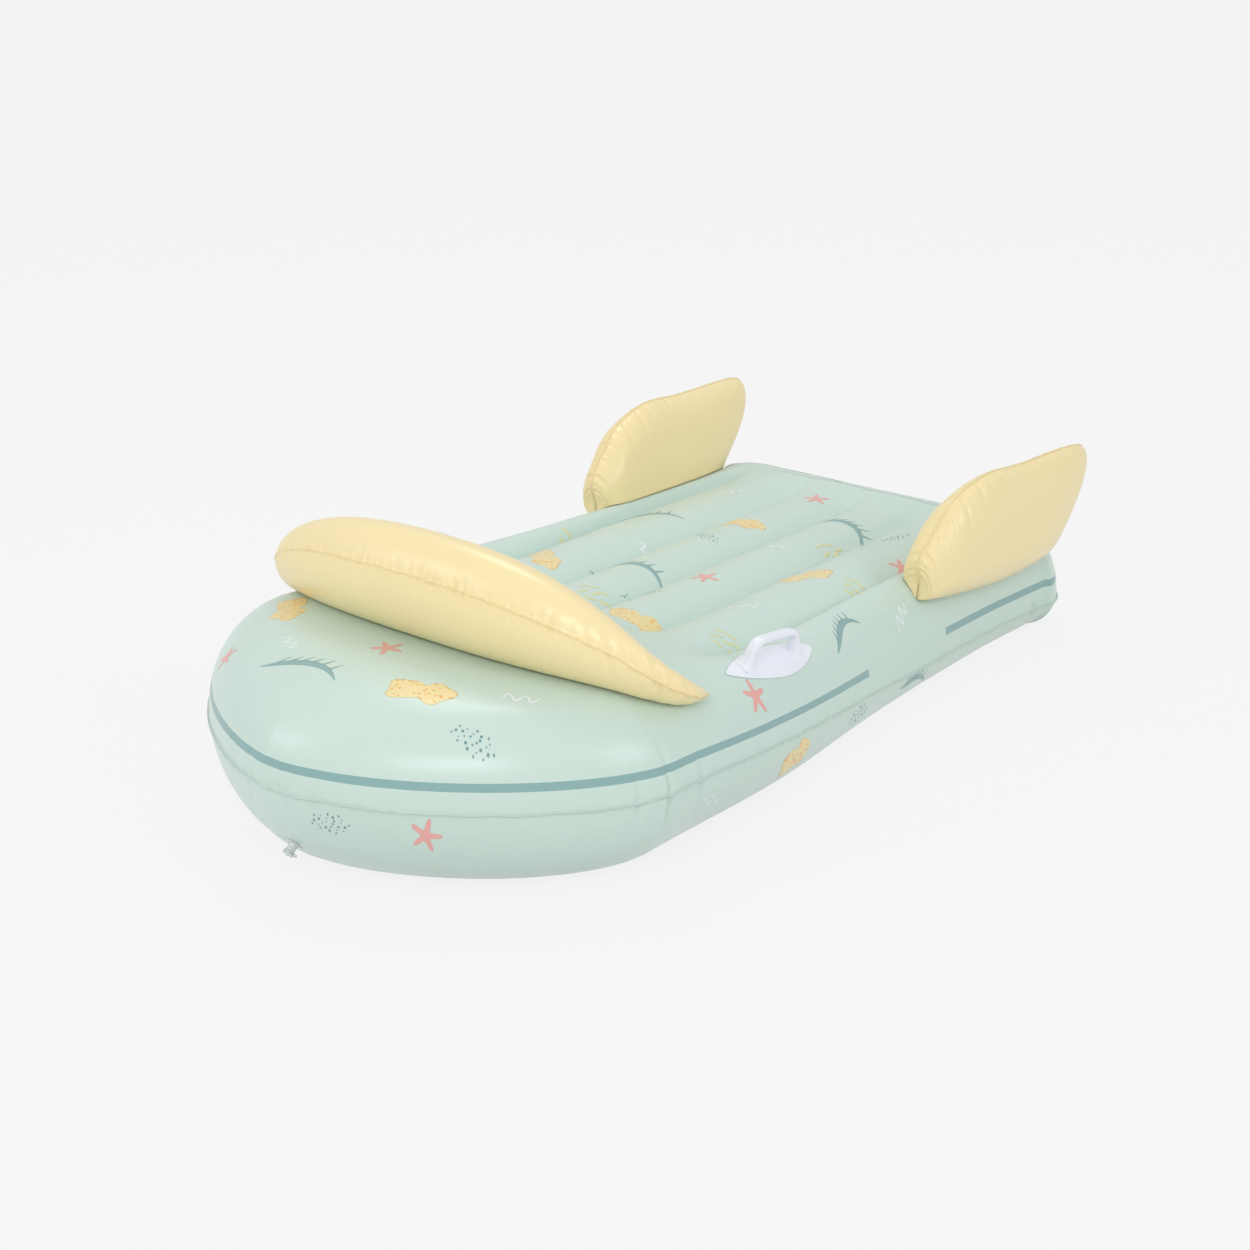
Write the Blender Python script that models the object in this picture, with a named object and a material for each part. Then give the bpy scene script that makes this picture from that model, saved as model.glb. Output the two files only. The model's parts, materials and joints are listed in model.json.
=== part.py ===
"""Inflatable pool lounger: a surfboard hull of welded film with a headrest, two tail fins,
two moulded handles and two push-in valves. Metres, +Z up, nose towards -Y, standing on z = 0."""
import math

import bpy
import bmesh
import numpy as np
from mathutils import Matrix, Vector
from mathutils.bvhtree import BVHTree

# Film, welds and clearances
FILM = 0.0004
GAP = 0.0003
SEAT_MARGIN = 0.00005
SEAM_MARGIN = 0.003

# Hull outline, along the perimeter seam
HULL_LENGTH = 1.440
HULL_HALF_WIDTH = 0.372
NOSE_LENGTH = 0.311
NOSE_POWER = 1.6
NOSE_FLAT_SHARE = 0.0033
TAIL_CORNER = 0.106
HALF_WIDTH_SHARES = (1.0, 0.973, 0.899, 0.880, 0.925)

# Hull thickness at stations along the length, as shares of the sizes they follow
HULL_HEIGHT = 0.238
RIM_WIDTH = 0.115
DOME_RISE = 0.010
STATION_SHARES = (0.0, 0.11, 0.25, 0.415, 0.65, 0.865, 1.0)
CREST_SHARES = (1.0, 1.0, 0.962, 0.824, 0.765, 0.714, 0.697)
SEAM_SHARES = (0.559, 0.534, 0.487, 0.387, 0.248, 0.210, 0.197)
RIM_SHARES = (1.0, 0.974, 0.870, 0.609, 0.539, 0.591, 0.696)

# Deck channels over the webs
INNER_CHANNEL_SHARE = 0.3065
OUTER_CHANNEL_SHARE = 0.6667
INNER_CHANNEL = HULL_HALF_WIDTH * INNER_CHANNEL_SHARE
OUTER_CHANNEL = HULL_HALF_WIDTH * OUTER_CHANNEL_SHARE
CHANNEL_DEPTH = 0.030
CHANNEL_DEPTH_SHARES = (1.0, 1.0, 1.0, 1.0, 0.80, 0.53, 0.40)
UNDERSIDE_DEPTH = 0.009
CHANNELS_FROM = 0.47
CHANNEL_START = 0.12
TAIL_TO_CHANNELS = 0.084
CHANNEL_FADE = 0.10
WEB_END_SHARE = 0.75

# Headrest
REST_FORWARD = 0.289
REST_SWEEP = 0.139
REST_SPAN_SHARE = 0.9167
REST_HALF_SPAN = HULL_HALF_WIDTH * REST_SPAN_SHARE
REST_POWER = 3.3
REST_RADIUS = 0.0735
REST_DEPTH_SHARE = 0.68
REST_FULLNESS = 2.8
REST_TAPER = 1.25
REST_TIP_RADIUS = 0.0025
REST_CROWD = 0.35
REST_FLAT = 0.004
REST_SEAM_ANGLE = math.radians(28.0)

# Fins
FIN_FRONT_TO_TAIL = 0.455
FIN_LENGTH = 0.459
FIN_HEIGHT = 0.151
FIN_THICKNESS = 0.084
FIN_OUTER_FOOT_SHARE = 0.12
FIN_INNER_FOOT_SHARE = 0.95
FIN_SPACING_SHARE = 0.8226
FIN_FRONT_SPACING = 2 * HULL_HALF_WIDTH * FIN_SPACING_SHARE
FIN_WAIST_SHARE = 0.28
FIN_TOE_SHARE = 0.020
FIN_SPLAY = 0.026
VENT_DIAMETER = 0.016
VENT_SHARE = 0.4

# Handles
HANDLE_Y = 0.592
HANDLE_SHARE = 0.851
HANDLE_X = HULL_HALF_WIDTH * HANDLE_SHARE
HANDLE_TOE = math.radians(2.0)
PAD_LENGTH = 0.186
PAD_WIDTH = 0.046
PAD_EDGE = 0.0014
PAD_CROWN = 0.0016
GRIP_LENGTH = 0.116
GRIP_CREST = 0.094
GRIP_HEIGHT = 0.039
GRIP_CORNER = 0.016
GRIP_LEAN_SHARE = 0.2
GRIP_DEPTH = 0.015
GRIP_THICKNESS = 0.008

# Valves
STEM_BORE = 0.008
STEM_WALL = 0.002
STEM_INSIDE = 0.005
STOW_TRAVEL = 0.010
LIP_DIAMETER = 0.0150
LIP_THICKNESS = 0.0016
STOP_DIAMETER = 0.0150
STOP_THICKNESS = 0.0010
FLANGE_DIAMETER = 0.0240
FLANGE_THICKNESS = 0.0008
STEM_CLEARANCE = 0.0003
TETHER_THICKNESS = 0.0009
TETHER_WIDTH = 0.0032
TETHER_REACH = 0.0060
PLUG_LENGTH = 0.0075
PLUG_CLEARANCE = 0.0003
CAP_DIAMETER = 0.0146
CAP_THICKNESS = 0.0018
FLAP_DIAMETER = 0.0096
FLAP_THICKNESS = 0.0005
NOSE_VALVE_SHARE = 0.5
REST_VALVE_STEP = 4

# Mesh steps
NOSE_ROWS = 7
SIDE_ROW_SHARES = (0.12, 0.224, 0.292, 0.45, 0.68, 0.918, 1.0)
CORNER_ROWS = 2
DECK_TUBE_SHARES = (0.25, 0.5, 0.75, 1.0)
BASE_TUBE_SHARES = (0.30, 0.70, 1.0)
SIDE_TUBE_SHARE = 0.4
DECK_RIM_ANGLES = (66.0, 42.0, 20.0, 0.0)
BASE_RIM_ANGLES = (72.0, 52.0, 32.0, 15.0, 0.0)
REST_STEPS = 22
REST_AROUND = 7
TURN_STEPS = 20
VENT_STEPS = 12

ORIGIN_Y = SEAM_MARGIN - (HULL_LENGTH - FIN_FRONT_TO_TAIL + FIN_LENGTH + 2 * SEAM_MARGIN) / 2


def through(at, shares, values):
    """Smooth curve through a few stations: cubic pieces with central slopes."""
    stations, values = np.array(shares, float), np.array(values, float)
    at = np.clip(np.asarray(at, float), stations[0], stations[-1])
    slopes = np.gradient(values, stations)
    k = np.clip(np.searchsorted(stations, at) - 1, 0, len(stations) - 2)
    span = stations[k + 1] - stations[k]
    t = (at - stations[k]) / span
    start = (1 + 2 * t) * (1 - t) ** 2 * values[k] + t * (1 - t) ** 2 * span * slopes[k]
    end = t * t * (3 - 2 * t) * values[k + 1] - t * t * (1 - t) * span * slopes[k + 1]
    return start + end


def smooth(t):
    t = np.clip(t, 0, 1)
    return t * t * (3 - 2 * t)


def half_width(y):
    """Half width of the seam outline beside the straight sides."""
    share = (y - NOSE_LENGTH) / (HULL_LENGTH - NOSE_LENGTH)
    return HULL_HALF_WIDTH * through(share, (0, 0.25, 0.5, 0.75, 1), HALF_WIDTH_SHARES)


def tail_half():
    return HULL_HALF_WIDTH * HALF_WIDTH_SHARES[-1]


def station(shares, size, y):
    """A size at distance y from the nose."""
    return size * through(y / HULL_LENGTH, STATION_SHARES, shares)


def crest_height(y):
    return station(CREST_SHARES, HULL_HEIGHT, y)


def seam_height(y):
    return station(SEAM_SHARES, HULL_HEIGHT, y)


def rim_width(y):
    return station(RIM_SHARES, RIM_WIDTH, y)


def outline_point(kind, value, inward):
    """Plan point of the seam outline moved inward, and the length station that sets its sizes."""
    if kind == "nose":
        power = 2 / NOSE_POWER
        x = (HULL_HALF_WIDTH - inward) * math.sin(value) ** power
        along = max(1 - max(math.cos(value), 0) ** power / (1 - NOSE_FLAT_SHARE), 0)
        return x, inward + (NOSE_LENGTH - inward) * along, NOSE_LENGTH * along
    if kind == "side":
        return half_width(value) - inward, value, value
    corner_x, corner_y = tail_half() - TAIL_CORNER, HULL_LENGTH - TAIL_CORNER
    if kind == "corner":
        reach = TAIL_CORNER - inward
        x, y = corner_x + reach * math.cos(value), corner_y + reach * math.sin(value)
        return x, y, y + inward * math.sin(value)
    return corner_x * value, HULL_LENGTH - inward, HULL_LENGTH


def side_stations():
    """Stations down one side, from the first row behind the nose tip to the tail corner."""
    flat = math.acos((1 - NOSE_FLAT_SHARE) ** (NOSE_POWER / 2))
    rows = [("nose", v) for v in (flat, *np.linspace(0, math.pi / 2, NOSE_ROWS)[1:])]
    straight = HULL_LENGTH - TAIL_CORNER - NOSE_LENGTH
    rows += [("side", NOSE_LENGTH + s * straight) for s in SIDE_ROW_SHARES]
    return rows + [("corner", v) for v in np.linspace(0, math.pi / 2, CORNER_ROWS + 1)[1:]]


def channel_share(y):
    """0 under the nose dome and at the tail, 1 over the webs."""
    start = smooth((y - CHANNELS_FROM) / CHANNEL_START)
    return start * smooth((HULL_LENGTH - TAIL_TO_CHANNELS - y) / CHANNEL_FADE)


def tube_arch(x, half):
    """1 on a tube's crown, 0 in the channels; the outer tubes run on into the rim."""
    x = np.abs(x)
    inner = x / INNER_CHANNEL
    outer = (x - INNER_CHANNEL) / (OUTER_CHANNEL - INNER_CHANNEL)
    side = 0.5 * (x - OUTER_CHANNEL) / np.maximum(half - OUTER_CHANNEL, GAP)
    t = np.where(x < INNER_CHANNEL, inner, np.where(x < OUTER_CHANNEL, outer, np.clip(side, 0, 0.5)))
    return 2 * np.sqrt(1 - 0.75 * (2 * t - 1) ** 2) - 1


def panel_half(y):
    """Half width of the panel between the rims behind the nose."""
    return half_width(np.maximum(y, NOSE_LENGTH)) - rim_width(y)


def deck_height(x, y):
    """Deck inside the rim: a dome over the nose, tubes between channels behind it."""
    half = panel_half(y)
    bulge = DOME_RISE * 0.5 * (1 + np.cos(math.pi * np.clip(np.abs(x) / half, 0, 1)))
    bulge = bulge * smooth(y / NOSE_LENGTH) * (1 - channel_share(y))
    depth = station(CHANNEL_DEPTH_SHARES, CHANNEL_DEPTH, y)
    return crest_height(y) + bulge - depth * channel_share(y) * (1 - tube_arch(x, half))


def inset(x, y):
    """How far inside the seam outline a plan point lies."""
    x, y = np.broadcast_arrays(np.abs(np.asarray(x, float)), np.asarray(y, float))
    low, high = np.full(x.shape, -RIM_WIDTH), np.full(x.shape, RIM_WIDTH)
    for _ in range(40):
        mid = (low + high) / 2
        ahead = np.clip((NOSE_LENGTH - y) / (NOSE_LENGTH - mid), 0, None)
        reach = (x / (HULL_HALF_WIDTH - mid)) ** NOSE_POWER
        inside = (reach + (ahead * (1 - NOSE_FLAT_SHARE)) ** NOSE_POWER < 1) & (ahead < 1)
        low, high = np.where(inside, mid, low), np.where(inside, high, mid)
    corner_x, corner_y = tail_half() - TAIL_CORNER, HULL_LENGTH - TAIL_CORNER
    depth = np.where(y < NOSE_LENGTH, low, half_width(y) - x)
    at_tail = np.where(x > corner_x, TAIL_CORNER - np.hypot(x - corner_x, y - corner_y), HULL_LENGTH - y)
    return np.where(y > corner_y, at_tail, depth)


def top_height(x, y):
    """Height of the top skin over any plan point inside the outline."""
    x, y = np.broadcast_arrays(np.asarray(x, float), np.asarray(y, float))
    depth = inset(x, y)
    along = np.clip((y - depth) / (NOSE_LENGTH - depth), 0, 1)
    at = np.where(y < NOSE_LENGTH, NOSE_LENGTH * along, y)
    wall = np.clip(1 - depth / rim_width(at), 0, 1)
    seam = seam_height(at)
    rim = seam + (crest_height(at) - seam) * np.sqrt(1 - wall * wall)
    return np.where(depth < rim_width(at), rim, deck_height(x, y))


def material(name, color, roughness, alpha=1.0):
    mat = bpy.data.materials.new(name)
    mat.use_nodes = True
    shader = mat.node_tree.nodes["Principled BSDF"]
    shader.inputs["Base Color"].default_value = (*color, 1)
    shader.inputs["Roughness"].default_value = roughness
    shader.inputs["Metallic"].default_value = 0.0
    shader.inputs["Alpha"].default_value = alpha
    mat.diffuse_color = (*color, alpha)
    return mat


def add_object(name, points, faces, mat, parent=None):
    """A smooth shaded object; hull pieces are moved from the nose datum to the origin."""
    points = np.array(points, float)
    if parent is None:
        points = points + np.array([0, ORIGIN_Y, 0])
    mesh = bpy.data.meshes.new(name)
    mesh.from_pydata([tuple(p) for p in points], [], [tuple(int(i) for i in f) for f in faces])
    mesh.validate()
    mesh.shade_smooth()
    mesh.set_sharp_from_angle(angle=math.radians(40))
    obj = bpy.data.objects.new(name, mesh)
    bpy.context.scene.collection.objects.link(obj)
    mesh.materials.append(mat)
    obj.parent = parent
    return obj


def thicken(obj, thickness=FILM, offset=-1.0):
    wall = obj.modifiers.new("Film", "SOLIDIFY")
    wall.thickness = thickness
    wall.offset = offset
    return obj


def cut(obj, cutter, operation="DIFFERENCE"):
    cutter.hide_render = True
    cutter.display_type = "WIRE"
    hole = obj.modifiers.new("Cut", "BOOLEAN")
    hole.object = cutter
    hole.operation = operation
    hole.solver = "EXACT"


def grid_faces(rows, columns, first=0, closed=False):
    """Quads of a grid stored row by row; closed joins the last column to the first."""
    faces = []
    for i in range(rows - 1):
        for j in range(columns if closed else columns - 1):
            a, b = first + i * columns + j, first + i * columns + (j + 1) % columns
            faces.append((a, b, b + columns, a + columns))
    return faces


def slab(name, top, bottom, mat, parent=None):
    """Closed solid between two grids of the same size; top is seen anticlockwise from above."""
    rows, columns = top.shape[:2]
    count = rows * columns
    faces = [f[::-1] for f in grid_faces(rows, columns)]
    faces += grid_faces(rows, columns, count)
    edge = [j for j in range(columns)] + [i * columns + columns - 1 for i in range(1, rows)]
    edge += [count - 1 - j for j in range(1, columns)] + [i * columns for i in range(rows - 2, 0, -1)]
    for a, b in zip(edge, edge[1:] + edge[:1]):
        faces.append((a, b, b + count, a + count))
    points = np.concatenate([top.reshape(-1, 3), bottom.reshape(-1, 3)])
    obj = add_object(name, points, faces, mat, parent)
    face_outwards(obj)
    return obj


def face_outwards(obj):
    shape = bmesh.new()
    shape.from_mesh(obj.data)
    bmesh.ops.recalc_face_normals(shape, faces=shape.faces)
    shape.to_mesh(obj.data)
    shape.free()


def turned(name, profile, mat, parent, steps=TURN_STEPS):
    """Solid turned about local Z from (radius, height) points; radius 0 at both ends closes it."""
    solid = profile[0][0] == 0
    ring = profile[1:-1] if solid else profile
    angles = (np.arange(steps) + 0.5) * 2 * math.pi / steps
    points = [(r * math.cos(a), r * math.sin(a), z) for r, z in ring for a in angles]
    faces = grid_faces(len(ring), steps, closed=True)
    if solid:
        first, last = len(points), len(points) + 1
        points += [(0, 0, profile[0][1]), (0, 0, profile[-1][1])]
        base = (len(ring) - 1) * steps
        for j in range(steps):
            k = (j + 1) % steps
            faces += [(k, j, first), (base + j, base + k, last)]
    else:
        base = (len(ring) - 1) * steps
        for j in range(steps):
            k = (j + 1) % steps
            faces.append((base + j, base + k, k, j))
    obj = add_object(name, points, faces, mat, parent)
    face_outwards(obj)
    return obj


def column_positions(half, tube_shares):
    """Row points from the centre line to the rim, on the channels where the row is wide enough."""
    columns = [0.0]
    for low, high in ((0.0, INNER_CHANNEL), (INNER_CHANNEL, OUTER_CHANNEL)):
        columns += [low + s * (high - low) for s in tube_shares]
    full = OUTER_CHANNEL + CHANNEL_DEPTH / 3
    scale = min(1.0, half / (full + CHANNEL_DEPTH / 3))
    columns.append(OUTER_CHANNEL + SIDE_TUBE_SHARE * (half - OUTER_CHANNEL) if scale == 1 else full)
    right = [c * scale for c in columns] + [half]
    return [-c for c in right[:0:-1]] + right


def rim_row(side, kind, value, turn, upper):
    """Point on the side wall; turn is 1 at the crest and 0 at the seam."""
    angle = math.radians(turn)
    _, _, at = outline_point(kind, value, 0)
    x, y, _ = outline_point(kind, value, float(rim_width(at)) * (1 - math.cos(angle)))
    seam = float(seam_height(at)) + (1 if upper else -1) * (GAP / 2 + FILM)
    far = float(crest_height(at)) if upper else 0.0
    return side * x, y, seam + (far - seam) * math.sin(angle)


def base_height(x, y):
    """Underside inside the rim: flat under the nose, tubes that rest on flat crowns behind it."""
    crown = tube_arch(BASE_TUBE_SHARES[0] * INNER_CHANNEL, HULL_HALF_WIDTH)
    flat = np.clip(tube_arch(x, panel_half(y)) / crown, 0, 1)
    return UNDERSIDE_DEPTH * channel_share(y) * (1 - flat)


def hull_skin(name, upper, mat):
    """One hull skin: rows across the panel, rings down its side wall and the flat seam margin."""
    tube_shares = DECK_TUBE_SHARES if upper else BASE_TUBE_SHARES
    angles = DECK_RIM_ANGLES if upper else BASE_RIM_ANGLES
    flat, *stations = side_stations()
    surface = deck_height if upper else base_height
    points = [rim_row(side, *flat, 90.0, upper) for side in (-1, 1)]
    points.append((0.0, points[0][1], points[0][2]))
    left_flat, right_flat, tip = 0, 1, 2
    rows = []
    for kind, value in stations:
        _, _, at = outline_point(kind, value, 0)
        half, y, _ = outline_point(kind, value, float(rim_width(at)))
        rows.append([(x, y, float(surface(x, y))) for x in column_positions(half, tube_shares)])
        for side, end in ((-1, 0), (1, -1)):
            rows[-1][end] = rim_row(side, kind, value, 90.0, upper)
    first, columns, last = len(points), len(rows[0]), len(rows) - 1
    points += [p for row in rows for p in row]
    faces = [(tip, first + j, first + j + 1) for j in range(columns - 1)]
    faces += [(tip, left_flat, first), (tip, first + columns - 1, right_flat)]
    faces += [f[::-1] for f in grid_faces(len(rows), columns, first)]
    at_tail = [("tail", p[0] / rows[-1][-1][0]) for p in rows[-1]]
    loop = [(tip, 1, "nose", 0.0), (right_flat, 1, *flat)]
    loop += [(first + i * columns + columns - 1, 1, *stations[i]) for i in range(len(rows))]
    loop += [(first + last * columns + j, 1, *at_tail[j]) for j in range(columns - 2, 0, -1)]
    loop += [(first + i * columns, -1, *stations[i]) for i in range(last, -1, -1)]
    loop.append((left_flat, -1, *flat))
    inner = [index for index, _, _, _ in loop]
    for angle in (*angles, None):
        ring = []
        for _, side, kind, value in loop:
            if angle is None:
                x, y, at = outline_point(kind, value, -SEAM_MARGIN)
                z = rim_row(side, kind, value, 0.0, upper)[2]
                points.append((side * x, y, z))
            else:
                points.append(rim_row(side, kind, value, angle, upper))
            ring.append(len(points) - 1)
        for k in range(len(loop)):
            n = (k + 1) % len(loop)
            faces.append((inner[k], inner[n], ring[n], ring[k]))
        inner = ring
    if upper:
        faces = [f[::-1] for f in faces]
    return thicken(add_object(name, points, faces, mat))


def web(name, x, mat):
    """One film web, from the bottom skin's channel to the deck's, standing on the row stations."""
    rows = [v for kind, v in side_stations() if kind == "side" and channel_share(v) >= WEB_END_SHARE]
    seat = FILM + GAP
    low = [(x, y, float(base_height(x, y)) + seat) for y in rows]
    high = [(x, y, float(deck_height(x, y)) - seat) for y in rows]
    grid = np.array([low, high])
    return thicken(add_object(name, grid.reshape(-1, 3), grid_faces(2, len(rows)), mat), offset=0.0)


def rest_sections():
    """Centre line of the headrest with its section radius, forward direction and deck tilt."""
    theta = np.linspace(-math.pi / 2, math.pi / 2, 80 * REST_STEPS + 1)
    power = 2 / REST_POWER
    line_x = REST_HALF_SPAN * np.sign(theta) * np.abs(np.sin(theta)) ** power
    line_y = REST_FORWARD + REST_SWEEP * (1 - np.clip(np.cos(theta), 0, 1) ** power)
    run = np.concatenate([[0], np.cumsum(np.hypot(np.diff(line_x), np.diff(line_y)))])
    share = np.sin(np.linspace(-math.pi / 2, math.pi / 2, REST_STEPS + 1)) * REST_CROWD
    share += np.linspace(-1, 1, REST_STEPS + 1) * (1 - REST_CROWD)
    at = (share + 1) / 2 * run[-1]
    x, y = np.interp(at, run, line_x), np.interp(at, run, line_y)
    dx, dy = np.gradient(x), np.gradient(y)
    length = np.hypot(dx, dy)
    ahead = np.stack([dy / length, -dx / length], -1)
    full = np.clip(1 - np.abs(share) ** REST_FULLNESS, 0, 1) ** REST_TAPER
    radius = REST_TIP_RADIUS + (REST_RADIUS - REST_TIP_RADIUS) * full
    reach = REST_RADIUS / 4
    rise = (top_height(x + reach * ahead[:, 0], y + reach * ahead[:, 1])
            - top_height(x - reach * ahead[:, 0], y - reach * ahead[:, 1]))
    tilt = np.arctan2(rise, 2 * reach)
    return x, y, radius, ahead, tilt


def rest_point_grid(first_angle, last_angle):
    """Grid of headrest points between two section angles, with a weld lip beyond each edge."""
    x, y, radius, ahead, tilt = rest_sections()
    base = top_height(x, y)
    columns = []
    share = np.linspace(0, 1, REST_AROUND + 1)
    steps = [("lip", 0.0)] + [("skin", s) for s in share] + [("lip", 1.0)]
    for kind, s in steps:
        slack = (GAP + FILM) / radius
        low, high = first_angle + slack, last_angle - slack
        angle = low + (high - low) * s
        out = radius + (np.minimum(SEAM_MARGIN, radius / 6) if kind == "lip" else 0)
        across = out * REST_DEPTH_SHARE * np.cos(angle)
        up = radius - REST_FLAT * radius / REST_RADIUS + out * np.sin(angle)
        level = across * np.cos(tilt) - up * np.sin(tilt)
        px, py = x + level * ahead[:, 0], y + level * ahead[:, 1]
        pz = base + across * np.sin(tilt) + up * np.cos(tilt)
        floor = top_height(px, py) + GAP
        columns.append(np.stack([px, py, np.maximum(pz, floor)], -1))
    return np.stack(columns, 1)


def surface_samples(grid, count=12):
    """Points spread over every cell of a grid, and along both diagonals of each."""
    t = np.linspace(0, 1, count)
    s, t = np.meshgrid(t, t)
    a, b = grid[:-1, :-1, None, None], grid[:-1, 1:, None, None]
    c, d = grid[1:, :-1, None, None], grid[1:, 1:, None, None]
    s, t = s[None, None, :, :, None], t[None, None, :, :, None]
    inside = (a * (1 - s) + b * s) * (1 - t) + (c * (1 - s) + d * s) * t
    diagonals = [a * (1 - t) + d * t, b * (1 - t) + c * t]
    return np.concatenate([p.reshape(-1, 3) for p in (inside, *diagonals)])


def seat_drop(points, carrier):
    """How far points must sink straight down to leave the named gap over the carrier's faces."""
    mesh = carrier.data
    corners = [v.co for v in mesh.vertices]
    tree = BVHTree.FromPolygons(corners, [tuple(p.vertices) for p in mesh.polygons])
    clear = []
    for x, y, z in points:
        hit = tree.ray_cast(Vector((x, y + ORIGIN_Y, HULL_HEIGHT * 2)), Vector((0, 0, -1)))[0]
        if hit is not None:
            clear.append(z - hit.z)
    return min(clear) - GAP - SEAT_MARGIN


def headrest(deck, mats):
    """Two crescent panels welded along the front and rear seams of a tapering tube."""
    lower = rest_point_grid(REST_SEAM_ANGLE - math.pi, REST_SEAM_ANGLE)
    upper = rest_point_grid(REST_SEAM_ANGLE, REST_SEAM_ANGLE + math.pi)
    drop = np.array([0, 0, seat_drop(surface_samples(lower), deck)])
    made = []
    for name, grid in (("headrest_lower_panel", lower - drop), ("headrest_upper_panel", upper - drop)):
        rows, columns = grid.shape[:2]
        faces = [f[::-1] for f in grid_faces(rows, columns)]
        made.append(thicken(add_object(name, grid.reshape(-1, 3), faces, mats["yellow"])))
    return made[0], made[1], upper - drop


def fin_outline():
    """Edge of the fin from its front foot to its rear foot: length, height and foot shares."""
    edge_shares = ((0.0, 0.10, 0.0), (0.0, 0.36, 0.015), (0.035, 0.66, 0.045), (0.125, 0.91, 0.11),
                   (0.325, 1.0, 0.28), (0.58, 0.95, 0.48), (0.926, 0.91, 0.68), (1.0, 0.64, 0.725),
                   (0.995, 0.37, 0.75), (0.895, 0.18, 0.77), (0.81, 0.04, 0.79))
    knots = np.linspace(0, 1, len(edge_shares))
    at = np.linspace(0, 1, 2 * len(edge_shares) - 1)
    length, height, foot = (through(at, knots, column) for column in zip(*edge_shares))
    return np.clip(length, 0, 1), np.clip(height, 0, None), foot


def fin_grid(side, outer):
    """Film panel of one fin: a lens that is open at its foot and closes along the edge."""
    length, height, foot = fin_outline()
    front = HULL_LENGTH - FIN_FRONT_TO_TAIL
    rise_shares = np.array([0.0, 0.14, FIN_WAIST_SHARE, 0.62, 0.88, 1.0])
    edge_y, edge_h = length * FIN_LENGTH, height * FIN_HEIGHT
    dy, dh = np.gradient(edge_y), np.gradient(edge_h)
    size = np.hypot(dy, dh)
    run = 2 * foot / foot[-1] - 1
    blunt_front, blunt_rear = np.clip(1 - run ** 8, 0, 1) ** 0.35, np.clip(1 - run ** 4, 0, 1) ** 0.5
    blunt = np.where(run < 0, blunt_front, blunt_rear)
    foot_y = front + foot * FIN_LENGTH
    base = float(top_height(FIN_FRONT_SPACING / 2, front))
    foot_middle = FIN_FRONT_SPACING / 2 + FIN_TOE_SHARE * (foot_y - front)
    foot_share = FIN_OUTER_FOOT_SHARE if outer else FIN_INNER_FOOT_SHARE
    foot_x = foot_middle + (1 if outer else -1) * FIN_THICKNESS / 2 * foot_share * blunt
    rows = []
    for rise in (*rise_shares, None):
        lift = 1.0 if rise is None else rise
        y = foot_y + (front + edge_y - foot_y) * lift
        h = edge_h * lift
        if rise is None:
            y, h = y - dh / size * SEAM_MARGIN, h + dy / size * SEAM_MARGIN
        waist = foot_share + (1 - foot_share) * math.sqrt(1 - max(1 - lift / FIN_WAIST_SHARE, 0) ** 2)
        half = FIN_THICKNESS / 2 * math.sqrt(1 - lift ** 3) * waist * blunt + GAP / 2 + FILM
        middle = FIN_FRONT_SPACING / 2 + FIN_TOE_SHARE * (y - front) + FIN_SPLAY * height * lift
        x = middle + (half if outer else -half)
        z = top_height(foot_x, foot_y) * (1 - min(lift, 1)) + (base + edge_h) * lift + (h - edge_h * lift)
        rows.append(np.stack([side * x, y, z], -1))
    return np.stack(rows)


def fin(label, side, deck, mats):
    grids = {"outer": fin_grid(side, True), "inner": fin_grid(side, False)}
    foot = np.concatenate([surface_samples(g[:2]) for g in grids.values()])
    foot = np.concatenate([foot + np.array([shift, 0, 0]) for shift in (-FILM, 0, FILM)])
    drop = np.array([0, 0, seat_drop(foot, deck)])
    for part, grid in grids.items():
        grid = grid - drop
        rows, columns = grid.shape[:2]
        faces = grid_faces(rows, columns)
        if (side > 0) == (part == "inner"):
            faces = [f[::-1] for f in faces]
        thicken(add_object(f"{label}_fin_{part}_panel", grid.reshape(-1, 3), faces, mats["yellow"]))
    vent_y = HULL_LENGTH - FIN_FRONT_TO_TAIL + FIN_LENGTH * VENT_SHARE
    inward = FIN_THICKNESS / 4 * (FIN_INNER_FOOT_SHARE - FIN_OUTER_FOOT_SHARE)
    return side * (FIN_FRONT_SPACING / 2 - inward), vent_y


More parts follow.
